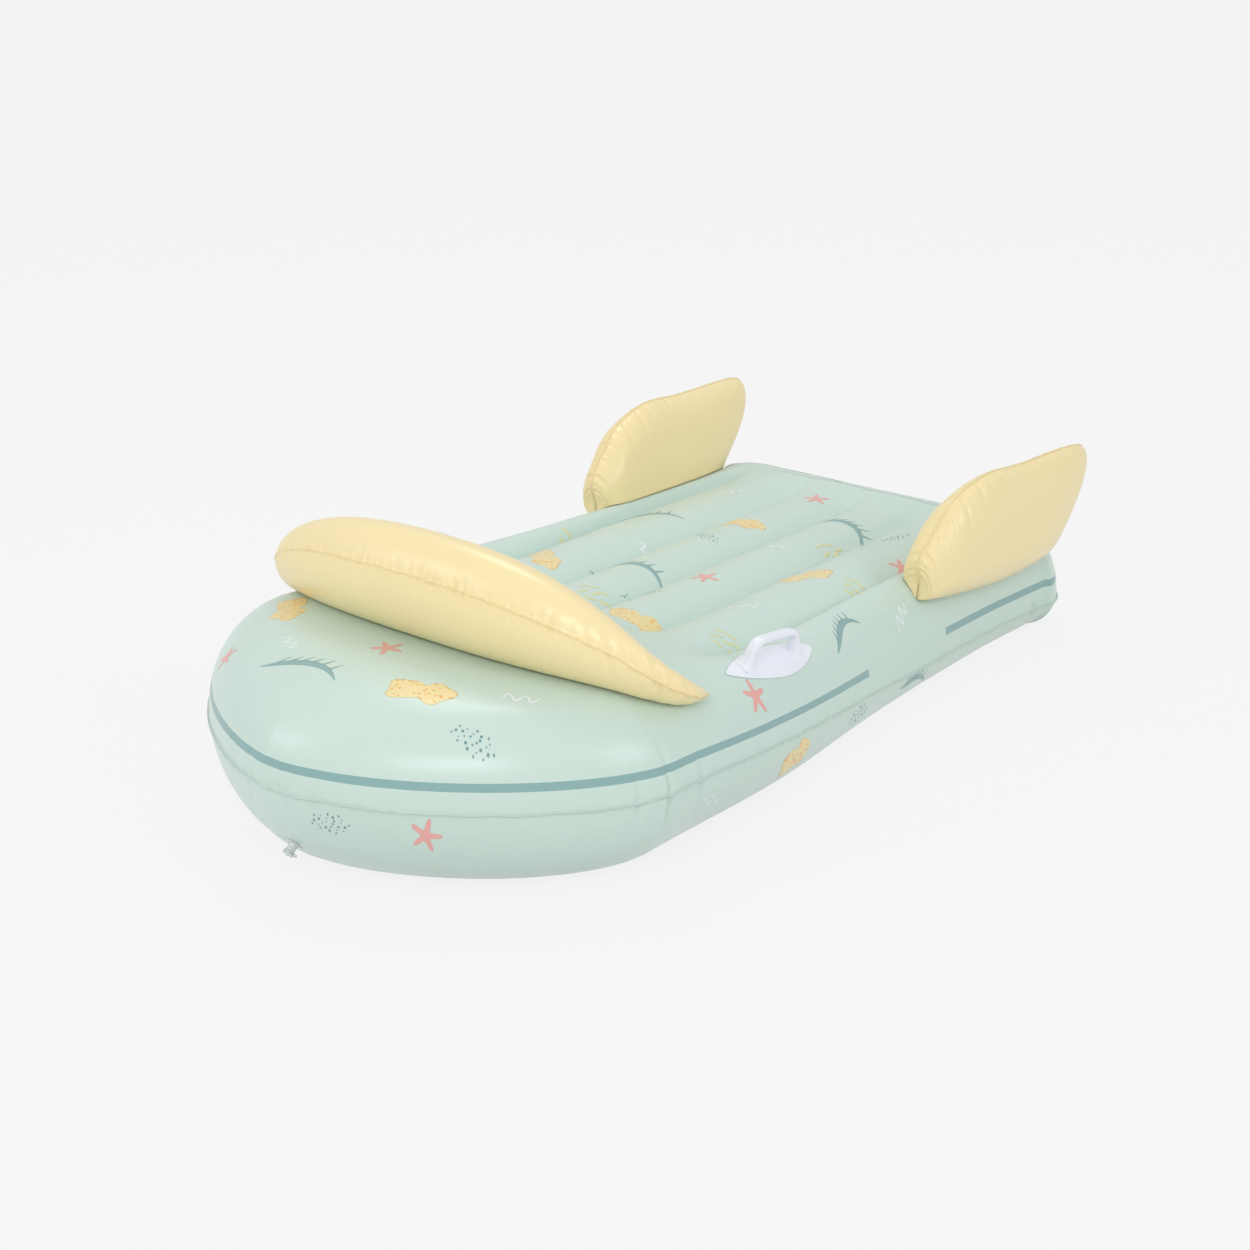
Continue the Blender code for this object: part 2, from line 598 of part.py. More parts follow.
def handle(label, side, deck, mats):
    """Moulded handle: a leaf shaped welding pad that follows the deck, and a bowed grip."""
    def place(x, y, z):
        turn = side * HANDLE_TOE
        wx = side * HANDLE_X + x * math.cos(turn) + y * math.sin(turn)
        wy = HANDLE_Y - x * math.sin(turn) + y * math.cos(turn)
        return np.stack([wx, wy, z + top_height(wx, wy)], -1)

    along = np.linspace(-1, 1, 17)
    across = np.linspace(-1, 1, 6)
    s, t = np.meshgrid(along, across, indexing="ij")
    width = PAD_WIDTH / 2 * np.maximum(1 - s * s, 0) ** 0.65 + PAD_EDGE / 2
    x, y = t * width, s * PAD_LENGTH / 2
    crown = PAD_EDGE + PAD_CROWN * (1 - t * t) * (1 - s * s)
    pad_top, pad_bottom = place(x, y, crown), place(x, y, 0 * crown)

    foot = np.array([-GRIP_LENGTH / 2, PAD_EDGE / 2])
    shoulder = np.array([-GRIP_CREST / 2, GRIP_HEIGHT - GRIP_THICKNESS / 2])
    leg = (foot - shoulder) / np.hypot(*(foot - shoulder))
    low, high = shoulder + leg * GRIP_CORNER, shoulder + np.array([GRIP_CORNER, 0])
    t = np.linspace(0, 1, 5)[:, None]
    bend = (1 - t) ** 2 * low + 2 * t * (1 - t) * shoulder + t * t * high
    half_path = np.concatenate([[foot, foot + (low - foot) / 3], bend])
    path_y, path_z = np.concatenate([half_path, half_path[::-1] * np.array([-1, 1])]).T
    rise = shoulder[1]
    dy, dz = np.gradient(path_y), np.gradient(path_z)
    size = np.hypot(dy, dz)
    flare = 1 + 0.35 * smooth(1 - path_z / (rise / 2))
    ring = np.linspace(0, 2 * math.pi, 10, endpoint=False) + math.pi / 10
    round_x = np.sign(np.cos(ring)) * np.abs(np.cos(ring)) ** 0.7
    round_n = np.sign(np.sin(ring)) * np.abs(np.sin(ring)) ** 0.7
    gx = GRIP_DEPTH / 2 * round_x[None] * flare[:, None] + GRIP_LEAN_SHARE * path_z[:, None]
    offset = GRIP_THICKNESS / 2 * round_n[None] * flare[:, None]
    gy = path_y[:, None] - dz[:, None] / size[:, None] * offset
    gz = path_z[:, None] + dy[:, None] / size[:, None] * offset
    grip_points = place(gx, gy, np.maximum(gz, PAD_EDGE / 2))
    level = place(0 * gx, gy, np.maximum(gz, PAD_EDGE / 2))[..., 2]
    grip_points[..., 2] += (level - grip_points[..., 2]) * smooth(gz / (rise / 2))

    drop = np.array([0, 0, seat_drop(surface_samples(pad_bottom), deck)])
    pad = slab(f"{label}_handle", pad_top - drop, pad_bottom - drop, mats["white"])
    rows, columns = grip_points.shape[:2]
    faces = grid_faces(rows, columns, closed=True)
    faces += [tuple(range(columns)), tuple((rows - 1) * columns + j for j in range(columns))]
    grip = add_object(f"{label}_grip_form", (grip_points - drop).reshape(-1, 3), faces, mats["white"])
    face_outwards(grip)
    cut(pad, grip, "UNION")
    return pad


def post(name, radius, length, frame, mats, steps=TURN_STEPS):
    """Round cutter along a frame's local Z."""
    profile = [(0, -length), (radius, -length), (radius, length), (0, length)]
    return turned(name, profile, mats["clear"], frame, steps)


def valve_frame(name, centre, outward):
    """Empty at the valve's seat, its local Z pointing out of the chamber."""
    frame = bpy.data.objects.new(name, None)
    bpy.context.scene.collection.objects.link(frame)
    z_axis = Vector(outward).normalized()
    x_axis = Vector((1, 0, 0)) - z_axis * z_axis.x
    x_axis.normalize()
    y_axis = z_axis.cross(x_axis)
    turn = Matrix((x_axis, y_axis, z_axis)).transposed().to_4x4()
    frame.matrix_world = Matrix.Translation(Vector(centre) + Vector((0, ORIGIN_Y, 0))) @ turn
    return frame


def tether(name, frame, low, high, mats):
    """Strap ring round the stem with a bowed strap that reaches the cap's edge."""
    inner = STEM_BORE / 2 + STEM_WALL + STEM_CLEARANCE
    outer = LIP_DIAMETER / 2
    ring = turned(name, [(inner, low), (outer, low), (outer, low + TETHER_THICKNESS),
                         (inner, low + TETHER_THICKNESS)], mats["clear"], frame)
    start, end = low + TETHER_THICKNESS / 2, high + CAP_THICKNESS / 2
    turns = np.linspace(-math.pi / 2, math.pi / 2, 9)
    foot = (inner + outer) / 2
    near = CAP_DIAMETER / 2 + GAP
    bow_x = np.append(foot, outer + TETHER_REACH * np.cos(turns))
    bow_z = np.append(start, (start + end) / 2 + (end - start) / 2 * np.sin(turns))
    bow_x, bow_z = np.append(bow_x, near), np.append(bow_z, end)
    dx, dz = np.gradient(bow_x), np.gradient(bow_z)
    size = np.hypot(dx, dz)
    sections = []
    half = TETHER_THICKNESS / 2
    for side_y, side_n in ((-1, -1), (1, -1), (1, 1), (-1, 1)):
        n = half * side_n * (0.98 if side_n < 0 else 1.0)
        sections.append(np.stack([bow_x - dz / size * n, 0 * bow_x + side_y * TETHER_WIDTH / 2,
                                  bow_z + dx / size * n], -1))
    points = np.stack(sections, 1)
    rows = len(points)
    faces = grid_faces(rows, 4, closed=True) + [(0, 1, 2, 3), tuple(4 * rows - 4 + j for j in range(4))]
    strap = add_object(name + "_strap_form", points.reshape(-1, 3), faces, mats["clear"], frame)
    face_outwards(strap)
    cut(ring, strap, "UNION")
    return ring


def valve(label, skin, centre, outward, mats):
    """Push-in valve: welded flange, sliding stem, plug on a tether, and a check flap inside."""
    frame = valve_frame(f"{label}_valve_axis", centre, outward)
    bore, tube = STEM_BORE / 2, STEM_BORE / 2 + STEM_WALL
    hole = tube + STEM_CLEARANCE
    cut(skin, post(f"{label}_valve_hole_form", hole, FLANGE_DIAMETER / 2, frame, mats))
    seat = GAP
    flange_top = seat + FLANGE_THICKNESS
    turned(f"{label}_valve_flange", [(hole, seat), (FLANGE_DIAMETER / 2, seat),
                                     (FLANGE_DIAMETER / 2, seat + FLANGE_THICKNESS / 2),
                                     (hole + STEM_WALL, flange_top), (hole, flange_top)],
           mats["clear"], frame)
    ring_low = flange_top + STOW_TRAVEL + GAP
    lip_low = ring_low + TETHER_THICKNESS + GAP
    mouth = lip_low + LIP_THICKNESS
    stop = -FILM - GAP
    inner_end = stop - STEM_INSIDE
    lip, shoulder = LIP_DIAMETER / 2, STOP_DIAMETER / 2
    turned(f"{label}_valve_stem", [(bore, inner_end), (tube, inner_end), (tube, stop - STOP_THICKNESS),
                                   (shoulder, stop - STOP_THICKNESS), (shoulder, stop), (tube, stop),
                                   (tube, lip_low), (lip, lip_low), (lip, mouth), (bore, mouth)],
           mats["clear"], frame)
    cap = mouth + GAP
    plug = bore - PLUG_CLEARANCE
    turned(f"{label}_valve_plug", [(0, cap - PLUG_LENGTH), (plug * 0.86, cap - PLUG_LENGTH),
                                   (plug, cap - PLUG_LENGTH + STEM_WALL), (plug, cap),
                                   (CAP_DIAMETER / 2, cap), (CAP_DIAMETER / 2, cap + CAP_THICKNESS * 0.7),
                                   (CAP_DIAMETER / 2 * 0.9, cap + CAP_THICKNESS), (0, cap + CAP_THICKNESS)],
           mats["clear"], frame)
    tether(f"{label}_valve_tether", frame, ring_low, cap, mats)
    flap_top = inner_end - GAP
    flap = turned(f"{label}_valve_flap", [(0, -FLAP_THICKNESS), (FLAP_DIAMETER / 2, -FLAP_THICKNESS),
                                          (FLAP_DIAMETER / 2, 0), (0, 0)], mats["clear"], frame)
    hinge = FLAP_DIAMETER / 2
    flap.data.transform(Matrix.Translation(Vector((-hinge, 0, 0))))
    flap.location = (hinge, 0, flap_top)
    return frame


def nose_valve_seat():
    """Middle of the valve on the bottom skin's centre line, on the edge between two rings."""
    high = Vector(rim_row(1, "nose", 0.0, BASE_RIM_ANGLES[2], False))
    low = Vector(rim_row(1, "nose", 0.0, BASE_RIM_ANGLES[1], False))
    outward = Vector((0, -(high - low).z, (high - low).y))
    return low.lerp(high, NOSE_VALVE_SHARE), outward


def rest_valve_seat(grid):
    """Middle and direction of one flat facet on the rear of the headrest."""
    row, column = REST_STEPS // 2 - REST_VALVE_STEP, REST_AROUND - 1
    corners = [Vector(grid[row + i, column + j]) for i, j in ((0, 0), (0, 1), (1, 1), (1, 0))]
    middle = sum(corners, Vector()) / len(corners)
    outward = (corners[2] - corners[0]).cross(corners[3] - corners[1]).normalized()
    if outward.y < 0:
        outward = -outward
    proud = max((c - middle).dot(outward) for c in corners)
    return middle + outward * proud, outward


def clear_scene():
    for obj in list(bpy.data.objects):
        bpy.data.objects.remove(obj)


def main():
    clear_scene()
    mats = {
        "mint": material("mint_film", (0.56, 0.71, 0.64), 0.35),
        "web": material("web_film", (0.75, 0.82, 0.78), 0.45),
        "yellow": material("yellow_film", (0.90, 0.78, 0.42), 0.35),
        "white": material("white_moulding", (0.80, 0.83, 0.90), 0.4),
        "clear": material("clear_moulding", (0.80, 0.85, 0.84), 0.2, 0.6),
    }
    top = hull_skin("top_skin", True, mats["mint"])
    bottom = hull_skin("bottom_skin", False, mats["mint"])
    for name, x in (("web_centre", 0.0),
                    ("web_right_inner", INNER_CHANNEL), ("web_left_inner", -INNER_CHANNEL),
                    ("web_right_outer", OUTER_CHANNEL), ("web_left_outer", -OUTER_CHANNEL)):
        web(name, x, mats["web"])
    _, rest_upper, rest_grid = headrest(top, mats)
    for label, side in (("right", 1), ("left", -1)):
        vent_x, vent_y = fin(label, side, top, mats)
        handle(label, side, top, mats)
        vent = (vent_x, vent_y, float(top_height(vent_x, vent_y)))
        frame = valve_frame(f"{label}_vent_axis", vent, (0, 0, 1))
        cut(top, post(f"{label}_vent_form", VENT_DIAMETER / 2, VENT_DIAMETER, frame, mats, VENT_STEPS))
    valve("nose", bottom, *nose_valve_seat(), mats)
    valve("headrest", rest_upper, *rest_valve_seat(rest_grid), mats)
    bpy.context.view_layer.update()


main()
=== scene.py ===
# %% [markdown]
# # An inflatable pool lounger, from welded film to studio picture
# A pool float is cut from flat vinyl film and welded along its edges. Air pressure gives it its shape: every
# panel swells until the seams hold it back, and the short seams pucker the longer film beside them.
# The moving model comes first. It fixes every size, and each piece below is fitted to it.

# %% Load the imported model
import json
import math
import bpy
import bmesh
import numpy as np
from mathutils import Matrix, Vector


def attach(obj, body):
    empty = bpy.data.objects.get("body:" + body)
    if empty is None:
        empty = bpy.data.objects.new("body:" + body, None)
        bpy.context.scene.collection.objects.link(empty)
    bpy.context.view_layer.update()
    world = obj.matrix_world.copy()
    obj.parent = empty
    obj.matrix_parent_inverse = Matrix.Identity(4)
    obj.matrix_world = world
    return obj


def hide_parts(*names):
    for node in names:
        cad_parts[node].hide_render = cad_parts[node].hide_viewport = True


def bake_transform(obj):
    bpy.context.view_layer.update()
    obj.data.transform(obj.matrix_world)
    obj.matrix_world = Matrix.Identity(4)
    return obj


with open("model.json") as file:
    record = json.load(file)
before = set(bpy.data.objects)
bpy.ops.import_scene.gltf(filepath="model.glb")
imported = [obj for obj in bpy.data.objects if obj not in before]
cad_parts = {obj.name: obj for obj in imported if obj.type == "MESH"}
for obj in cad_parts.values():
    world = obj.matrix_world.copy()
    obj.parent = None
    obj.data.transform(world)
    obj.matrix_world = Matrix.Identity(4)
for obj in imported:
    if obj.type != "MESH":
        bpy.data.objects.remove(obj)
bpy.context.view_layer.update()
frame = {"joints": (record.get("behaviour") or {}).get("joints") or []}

# %% [markdown]
# ## Sizes
# These are the lengths that the hull's solids were built from, in metres. Shares scale a length along the hull.
# Distances along the float are counted from the nose, and ORIGIN_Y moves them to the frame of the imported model.

# %% Named sizes of the hull
FILM, GAP, SEAM_MARGIN, YELLOW_MARGIN = 0.0004, 0.0003, 0.003, 0.0018
HULL_LENGTH, HULL_HALF_WIDTH, HULL_HEIGHT = 1.440, 0.372, 0.238
NOSE_LENGTH, NOSE_POWER, NOSE_FLAT_SHARE, TAIL_CORNER = 0.311, 1.6, 0.0033, 0.106
HALF_WIDTH_SHARES = (1.0, 0.973, 0.899, 0.880, 0.925)
RIM_WIDTH, DOME_RISE, DOME_PEAK, DOME_POWER = 0.115, 0.010, 0.0075, 6
DOME_END, DOME_FADE = 0.40, 0.19
STATION_SHARES = (0.0, 0.11, 0.25, 0.415, 0.65, 0.865, 1.0)
CREST_SHARES = (1.0, 1.0, 0.962, 0.824, 0.765, 0.714, 0.697)
SEAM_SHARES = (0.559, 0.534, 0.487, 0.387, 0.248, 0.210, 0.197)
RIM_SHARES = (1.0, 0.974, 0.870, 0.609, 0.539, 0.591, 0.696)
INNER_CHANNEL, OUTER_CHANNEL = HULL_HALF_WIDTH * 0.3065, HULL_HALF_WIDTH * 0.6667
CHANNEL_DEPTH, UNDERSIDE_DEPTH, CROWN_SHARE = 0.030, 0.009, 0.30
CHANNEL_DEPTH_SHARES = (1.0, 1.0, 1.0, 1.0, 0.80, 0.53, 0.40)
CHANNELS_FROM, CHANNEL_START, TAIL_TO_CHANNELS, CHANNEL_FADE = 0.47, 0.12, 0.084, 0.10
ORIGIN_Y = -0.722
TAIL_HALF = HULL_HALF_WIDTH * HALF_WIDTH_SHARES[-1]
print("hull length, width and height:", HULL_LENGTH, 2 * HULL_HALF_WIDTH, HULL_HEIGHT)

# %% [markdown]
# ## Curves through a few stations
# The hull swells and thins along its length. A few measured stations set its height, the height of its seam and
# the width of its rounded rim, and a smooth curve runs through them.

# %% Smooth curves
def through(at, shares, values):
    """Cubic pieces through the stations, each with the slope of its neighbours."""
    stations, values = np.array(shares, float), np.array(values, float)
    at = np.clip(np.asarray(at, float), stations[0], stations[-1])
    slopes = np.gradient(values, stations)
    k = np.clip(np.searchsorted(stations, at) - 1, 0, len(stations) - 2)
    span = stations[k + 1] - stations[k]
    t = (at - stations[k]) / span
    start = (1 + 2 * t) * (1 - t) ** 2 * values[k] + t * (1 - t) ** 2 * span * slopes[k]
    return start + t * t * (3 - 2 * t) * values[k + 1] - t * t * (1 - t) * span * slopes[k + 1]


def smooth(t):
    """3t² − 2t³ between 0 and 1."""
    t = np.clip(t, 0, 1)
    return t * t * (3 - 2 * t)


def crest_height(y):
    """Height of the rim's top at a length station."""
    return HULL_HEIGHT * through(y / HULL_LENGTH, STATION_SHARES, CREST_SHARES)


def seam_height(y):
    """Height of the weld between the two skins."""
    return HULL_HEIGHT * through(y / HULL_LENGTH, STATION_SHARES, SEAM_SHARES)


def rim_width(y):
    """Distance from the seam inwards to the edge of the deck panel."""
    return RIM_WIDTH * through(y / HULL_LENGTH, STATION_SHARES, RIM_SHARES)


def half_width(y):
    """Half the width between the seams behind the nose."""
    share = (y - NOSE_LENGTH) / (HULL_LENGTH - NOSE_LENGTH)
    return HULL_HALF_WIDTH * through(share, (0, 0.25, 0.5, 0.75, 1), HALF_WIDTH_SHARES)


def channel_share(y):
    """0 under the nose dome and at the tail, 1 over the webs."""
    to_tail = HULL_LENGTH - TAIL_TO_CHANNELS - y
    return smooth((y - CHANNELS_FROM) / CHANNEL_START) * smooth(to_tail / CHANNEL_FADE)


print("crest at nose, middle and tail:", crest_height(np.array([0, 0.72, 1.44])).round(3))

# %% [markdown]
# ## The outline, and how far inside it a point lies
# Seen from above, the nose is a superellipse, the sides are nearly straight and the tail has round corners. The
# height of the top skin at any point follows from how far inside the seam it lies. Over the nose it is one long
# dome. Behind the headrest it is an elliptic rim, then the deck, a row of tubes between the welded channels.

# %% Outline and heights
NOSE, SIDE, CORNER, TAIL = range(4)
CORNER_X, CORNER_Y = TAIL_HALF - TAIL_CORNER, HULL_LENGTH - TAIL_CORNER
DEEPEST = 0.3


def outline(kind, value, inward):
    """Plan point of the seam moved inward, and its length station: superellipse, curve, arc and line."""
    power = 2 / NOSE_POWER
    turn = np.where(kind == SIDE, 0, value)
    along = np.clip(1 - np.clip(np.cos(turn), 0, 1) ** power / (1 - NOSE_FLAT_SHARE), 0, None)
    nose_x = (HULL_HALF_WIDTH - inward) * np.abs(np.sin(turn)) ** power
    nose_y = inward + (NOSE_LENGTH - inward) * along
    reach = TAIL_CORNER - inward
    corner_x, corner_y = CORNER_X + reach * np.cos(turn), CORNER_Y + reach * np.sin(turn)
    cases = [kind == NOSE, kind == SIDE, kind == CORNER]
    x = np.select(cases, [nose_x, half_width(value) - inward, corner_x], CORNER_X * value)
    y = np.select(cases, [nose_y, value, corner_y], HULL_LENGTH - inward)
    at = np.select(cases, [NOSE_LENGTH * along, value, CORNER_Y + TAIL_CORNER * np.sin(turn)], HULL_LENGTH)
    return x, y, at


def inset(x, y):
    """Distance inside the seam: bisection on the shrunken superellipse at the nose, plain distance elsewhere."""
    x, y = np.broadcast_arrays(np.abs(np.asarray(x, float)), np.asarray(y, float))
    low, high = np.full(x.shape, -RIM_WIDTH), np.full(x.shape, HULL_HALF_WIDTH * 0.999 - 0 * x)
    for _ in range(40):
        mid = (low + high) / 2
        ahead = np.clip((NOSE_LENGTH - y) / np.maximum(NOSE_LENGTH - mid, GAP), 0, None)
        reach = (x / (HULL_HALF_WIDTH - mid)) ** NOSE_POWER
        inside = (reach + (ahead * (1 - NOSE_FLAT_SHARE)) ** NOSE_POWER < 1) & (ahead < 1)
        low, high = np.where(inside, mid, low), np.where(inside, high, mid)
    depth = np.where(y < NOSE_LENGTH, low, half_width(y) - x)
    at_tail = np.where(x > CORNER_X, TAIL_CORNER - np.hypot(x - CORNER_X, y - CORNER_Y), HULL_LENGTH - y)
    return np.where(y > CORNER_Y, at_tail, depth)


def seam_station(depth, y):
    """Length station of the seam point that lies square outside a plan point: scaled at the nose, y behind it."""
    at_nose = NOSE_LENGTH * np.clip((y - depth) / (NOSE_LENGTH - np.minimum(depth, DEEPEST)), 0, 1)
    return np.where(y < NOSE_LENGTH, at_nose, y)


def tube_arch(x, half):
    """1 on a tube's crown, 0 in its channels: part of a circle over each tube, half a tube beside the rim."""
    x = np.abs(x)
    side = 0.5 * (x - OUTER_CHANNEL) / np.maximum(half - OUTER_CHANNEL, GAP)
    t = np.where(x < INNER_CHANNEL, x / INNER_CHANNEL, (x - INNER_CHANNEL) / (OUTER_CHANNEL - INNER_CHANNEL))
    t = np.where(x < OUTER_CHANNEL, t, np.clip(side, 0, 0.5))
    return 2 * np.sqrt(1 - 0.75 * (2 * t - 1) ** 2) - 1


def deck_height(x, y):
    """Crest, plus a dome that rises with the distance inside the rim, less the depth of the channels."""
    half = half_width(np.maximum(y, NOSE_LENGTH)) - rim_width(y)
    inner = (inset(x, y) - rim_width(y)) / (HULL_HALF_WIDTH - RIM_WIDTH)
    bulge = DOME_RISE * np.sqrt(smooth(1.25 * inner)) * smooth(6 * inner) * (1 - channel_share(y))
    depth = CHANNEL_DEPTH * through(y / HULL_LENGTH, STATION_SHARES, CHANNEL_DEPTH_SHARES)
    return crest_height(y) + bulge - depth * channel_share(y) * (1 - tube_arch(x, half))


def dome_height(depth, at, y):
    """Profile of the nose: one long superellipse from the seam to the middle, with no flat spot in it."""
    wall = np.clip(1 - depth / HULL_HALF_WIDTH, 0, 1)
    at = at + (y - at) * smooth(depth / RIM_WIDTH)
    swelling = np.sqrt(np.clip(1 - wall ** DOME_POWER, 0, 1))
    return seam_height(at) + (crest_height(at) + DOME_PEAK - seam_height(at)) * swelling


def dome_share(y):
    """1 over the nose, 0 behind the headrest, where the tubes begin."""
    return 1 - smooth((y - DOME_END) / DOME_FADE)


def domed(height, dome, y):
    """The dome's height over the nose, the given height behind it, and a smooth mix between them."""
    share = dome_share(y)
    return height * (1 - share) + share * dome


def top_height(x, y):
    """Height of the top skin over a plan point: ellipse over the rim, deck inside it, the dome over the nose."""
    x, y = np.broadcast_arrays(np.asarray(x, float), np.asarray(y, float))
    depth = inset(x, y)
    at = seam_station(depth, y)
    wall = np.clip(1 - depth / rim_width(at), 0, 1)
    rim = seam_height(at) + (crest_height(at) - seam_height(at)) * np.sqrt(1 - wall * wall)
    return domed(np.where(depth < rim_width(at), rim, deck_height(x, y)), dome_height(depth, at, y), y)


def base_height(x, y):
    """Underside inside the rim: flat under the nose, tubes resting on flat crowns behind it."""
    half = half_width(np.maximum(y, NOSE_LENGTH)) - rim_width(y)
    crown = tube_arch(np.array(CROWN_SHARE * INNER_CHANNEL), HULL_HALF_WIDTH)
    return UNDERSIDE_DEPTH * channel_share(y) * (1 - np.clip(tube_arch(x, half) / crown, 0, 1))


print("deck on the centre line:", deck_height(np.zeros(3), np.array([0.3, 0.7, 1.2])).round(3))

# %% [markdown]
# ## Puckers
# A weld is shorter than the film beside it, so the film gathers into small creases that start at the seam and run
# out square to it. A cloth simulation would need a very fine mesh for them. They are worked out as a sum instead,
# so each crease has its own place, width, reach and depth.

# %% Creases beside a seam
draw = np.random.default_rng(7)


def puckers(run, rise, places, widths, reaches, depths):
    """Sum of −depth · (1 − 0.9 off²) · exp(−off²) · (1 − rise / reach)^1.5, where off counts widths from the
    crease's middle: a groove between two faint swellings."""
    total = np.zeros(run.shape)
    for place, width, reach, depth in np.broadcast(places, widths, reaches, depths):
        off = (run - place) / (width * (1 + 1.2 * np.clip(rise / reach, 0, 1)))
        fade = np.clip(1 - rise / reach, 0, 1) ** 1.5
        total -= depth * fade * (1 - 0.9 * off ** 2) * np.exp(-off ** 2)
    return total


def scattered(count, low, high, width, reach, depth):
    """Creases at uneven places between low and high, each size drawn between half and one and a half."""
    places = np.sort(draw.uniform(low, high, count))
    return [places] + [size * draw.uniform(0.5, 1.5, count) for size in (width, reach, depth)]


def together(*sets):
    """Joins sets of creases; a single number stands for every crease of its set."""
    full = [np.broadcast_arrays(*[np.atleast_1d(np.asarray(v, float)) for v in s]) for s in sets]
    return [np.concatenate([s[k] for s in full]) for k in range(4)]


# %% [markdown]
# ## Making meshes
# Each surface is a grid of points worked out as whole arrays. Small helpers turn grids into meshes and move points
# along their own normals. They also keep two numbers on every point for the materials: the run along the nearest
# seam and the distance from it.

# %% Mesh helpers
def grid_quads(rows, columns, first=0, closed=False):
    """Four corners per cell of a grid stored row by row; closed joins the last column to the first."""
    index = first + np.arange(rows * columns).reshape(rows, columns)
    if closed:
        index = np.concatenate([index, index[:, :1]], 1)
    return np.stack([index[:-1, :-1], index[:-1, 1:], index[1:, 1:], index[1:, :-1]], -1).reshape(-1, 4)


def several(shapes):
    """Points and faces of several shapes as one list of each."""
    points, faces, first = [], [], 0
    for shape_points, shape_faces in shapes:
        faces += [f + first for f in shape_faces]
        points.append(shape_points)
        first += len(shape_points)
    return np.concatenate(points), faces


ORIGIN = np.array([0, ORIGIN_Y, 0])
NO_SEAM = 0.1


def into_scene(name, data):
    """New object at the origin that shows the given mesh, lamp or camera."""
    obj = bpy.data.objects.new(name, data)
    bpy.context.scene.collection.objects.link(obj)
    return obj


def film_mesh(name, points, faces, *materials, run=0.0, rise=NO_SEAM):
    """Smooth shaded mesh in the frame of the model, with its seam run and rise on the points."""
    mesh = bpy.data.meshes.new(name)
    mesh.from_pydata((points + ORIGIN).tolist(), [], [f.tolist() for f in faces])
    for label, values in (("seam_run", run), ("seam_rise", rise)):
        values = np.broadcast_to(np.ravel(values), len(points)).astype(np.float32)
        mesh.attributes.new(label, "FLOAT", "POINT").data.foreach_set("value", values)
    mesh.shade_smooth()
    for material in materials:
        mesh.materials.append(material)
    return into_scene(name, mesh)


def coordinates(obj):
    """All points of the mesh as one array."""
    points = np.empty(3 * len(obj.data.vertices))
    obj.data.vertices.foreach_get("co", points)
    return points.reshape(-1, 3)


def set_coordinates(obj, points):
    """Puts an array of points back into the mesh."""
    obj.data.vertices.foreach_set("co", np.ascontiguousarray(points).ravel())
    obj.data.update()


def swell(obj, amount):
    """Moves each point along its own normal."""
    normals = np.empty(3 * len(obj.data.vertices))
    obj.data.vertex_normals.foreach_get("vector", normals)
    set_coordinates(obj, coordinates(obj) + normals.reshape(-1, 3) * np.ravel(amount)[:, None])


SEAT_INNER, SEAT_OUTER, SEAT_REACH = 0.0128, 0.030, 0.03


def seat_flat(obj, centre, outward):
    """Lays the film flat on a round seat: its height over the seat's plane is taken off inside one radius, kept
    outside another, and fades between the two."""
    points = coordinates(obj)
    off = points - centre
    height = off @ outward
    aside = np.linalg.norm(off - height[:, None] * outward, axis=1)
    keep = smooth((aside - SEAT_INNER) / (SEAT_OUTER - SEAT_INNER))
    near = np.abs(height) < SEAT_REACH
    set_coordinates(obj, points - outward * np.where(near, height * (1 - keep), 0)[:, None])


def bake(obj):
    """Puts the result of the modifiers into the mesh."""
    bpy.context.view_layer.update()
    done = bpy.data.meshes.new_from_object(obj.evaluated_get(bpy.context.evaluated_depsgraph_get()))
    obj.modifiers.clear()
    obj.data = done
    return obj


def film_wall(obj):
    """Gives the film its thickness, inwards from the shaped surface."""
    wall = obj.modifiers.new("Film", "SOLIDIFY")
    wall.thickness, wall.offset = FILM, -1.0
    return bake(obj)


def outwards(obj, merge=0.0):
    """Makes one point of corners that lie within merge of each other, then turns all faces outwards."""
    shape = bmesh.new()
    shape.from_mesh(obj.data)
    if merge:
        bmesh.ops.remove_doubles(shape, verts=shape.verts, dist=merge)
    bmesh.ops.recalc_face_normals(shape, faces=shape.faces)
    shape.to_mesh(obj.data)
    shape.free()
    return obj


def belongs(obj, body, slot, *nodes):
    """The piece rides on its body and stands for its solids, which it hides. The slot is not used."""
    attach(obj, body)
    if nodes:
        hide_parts(*nodes)
    obj.data.calc_loop_triangles()
    print(obj.name, "triangles:", len(obj.data.loop_triangles))
    return obj


# %% [markdown]
# ## Vinyl film
# The film has a satin surface: broad soft highlights, a very fine grain from the rollers that made it, and slow
# changes of tone where the print lies thicker. All of that is one node group. It reads the object's
# coordinates, so the scale is real. Beside the seams it adds fine gathers that are too small for the mesh.

# %% Node helpers
def new_group(name, inputs, outputs):
    """An empty node group with named sockets; also returns its way in and its way out."""
    group = bpy.data.node_groups.new(name, "ShaderNodeTree")
    for way, sockets in (("INPUT", inputs), ("OUTPUT", outputs)):
        for label, kind in sockets.items():
            group.interface.new_socket(name=label, in_out=way, socket_type="NodeSocket" + kind)
    return group, group.nodes.new("NodeGroupInput").outputs, group.nodes.new("NodeGroupOutput").inputs


def feed(tree, socket, value):
    """A number is set on the socket, and anything else is linked to it."""
    if isinstance(value, (int, float)):
        socket.default_value = value
    else:
        tree.links.new(value, socket)


def maths_in(tree):
    """A maths function bound to one node tree: each call adds a node and returns its result."""
    def maths(operation, *values):
        node = tree.nodes.new("ShaderNodeMath")
        node.operation = operation
        for k, value in enumerate(values):
            feed(tree, node.inputs[k], value)
        return node.outputs[0]
    return maths


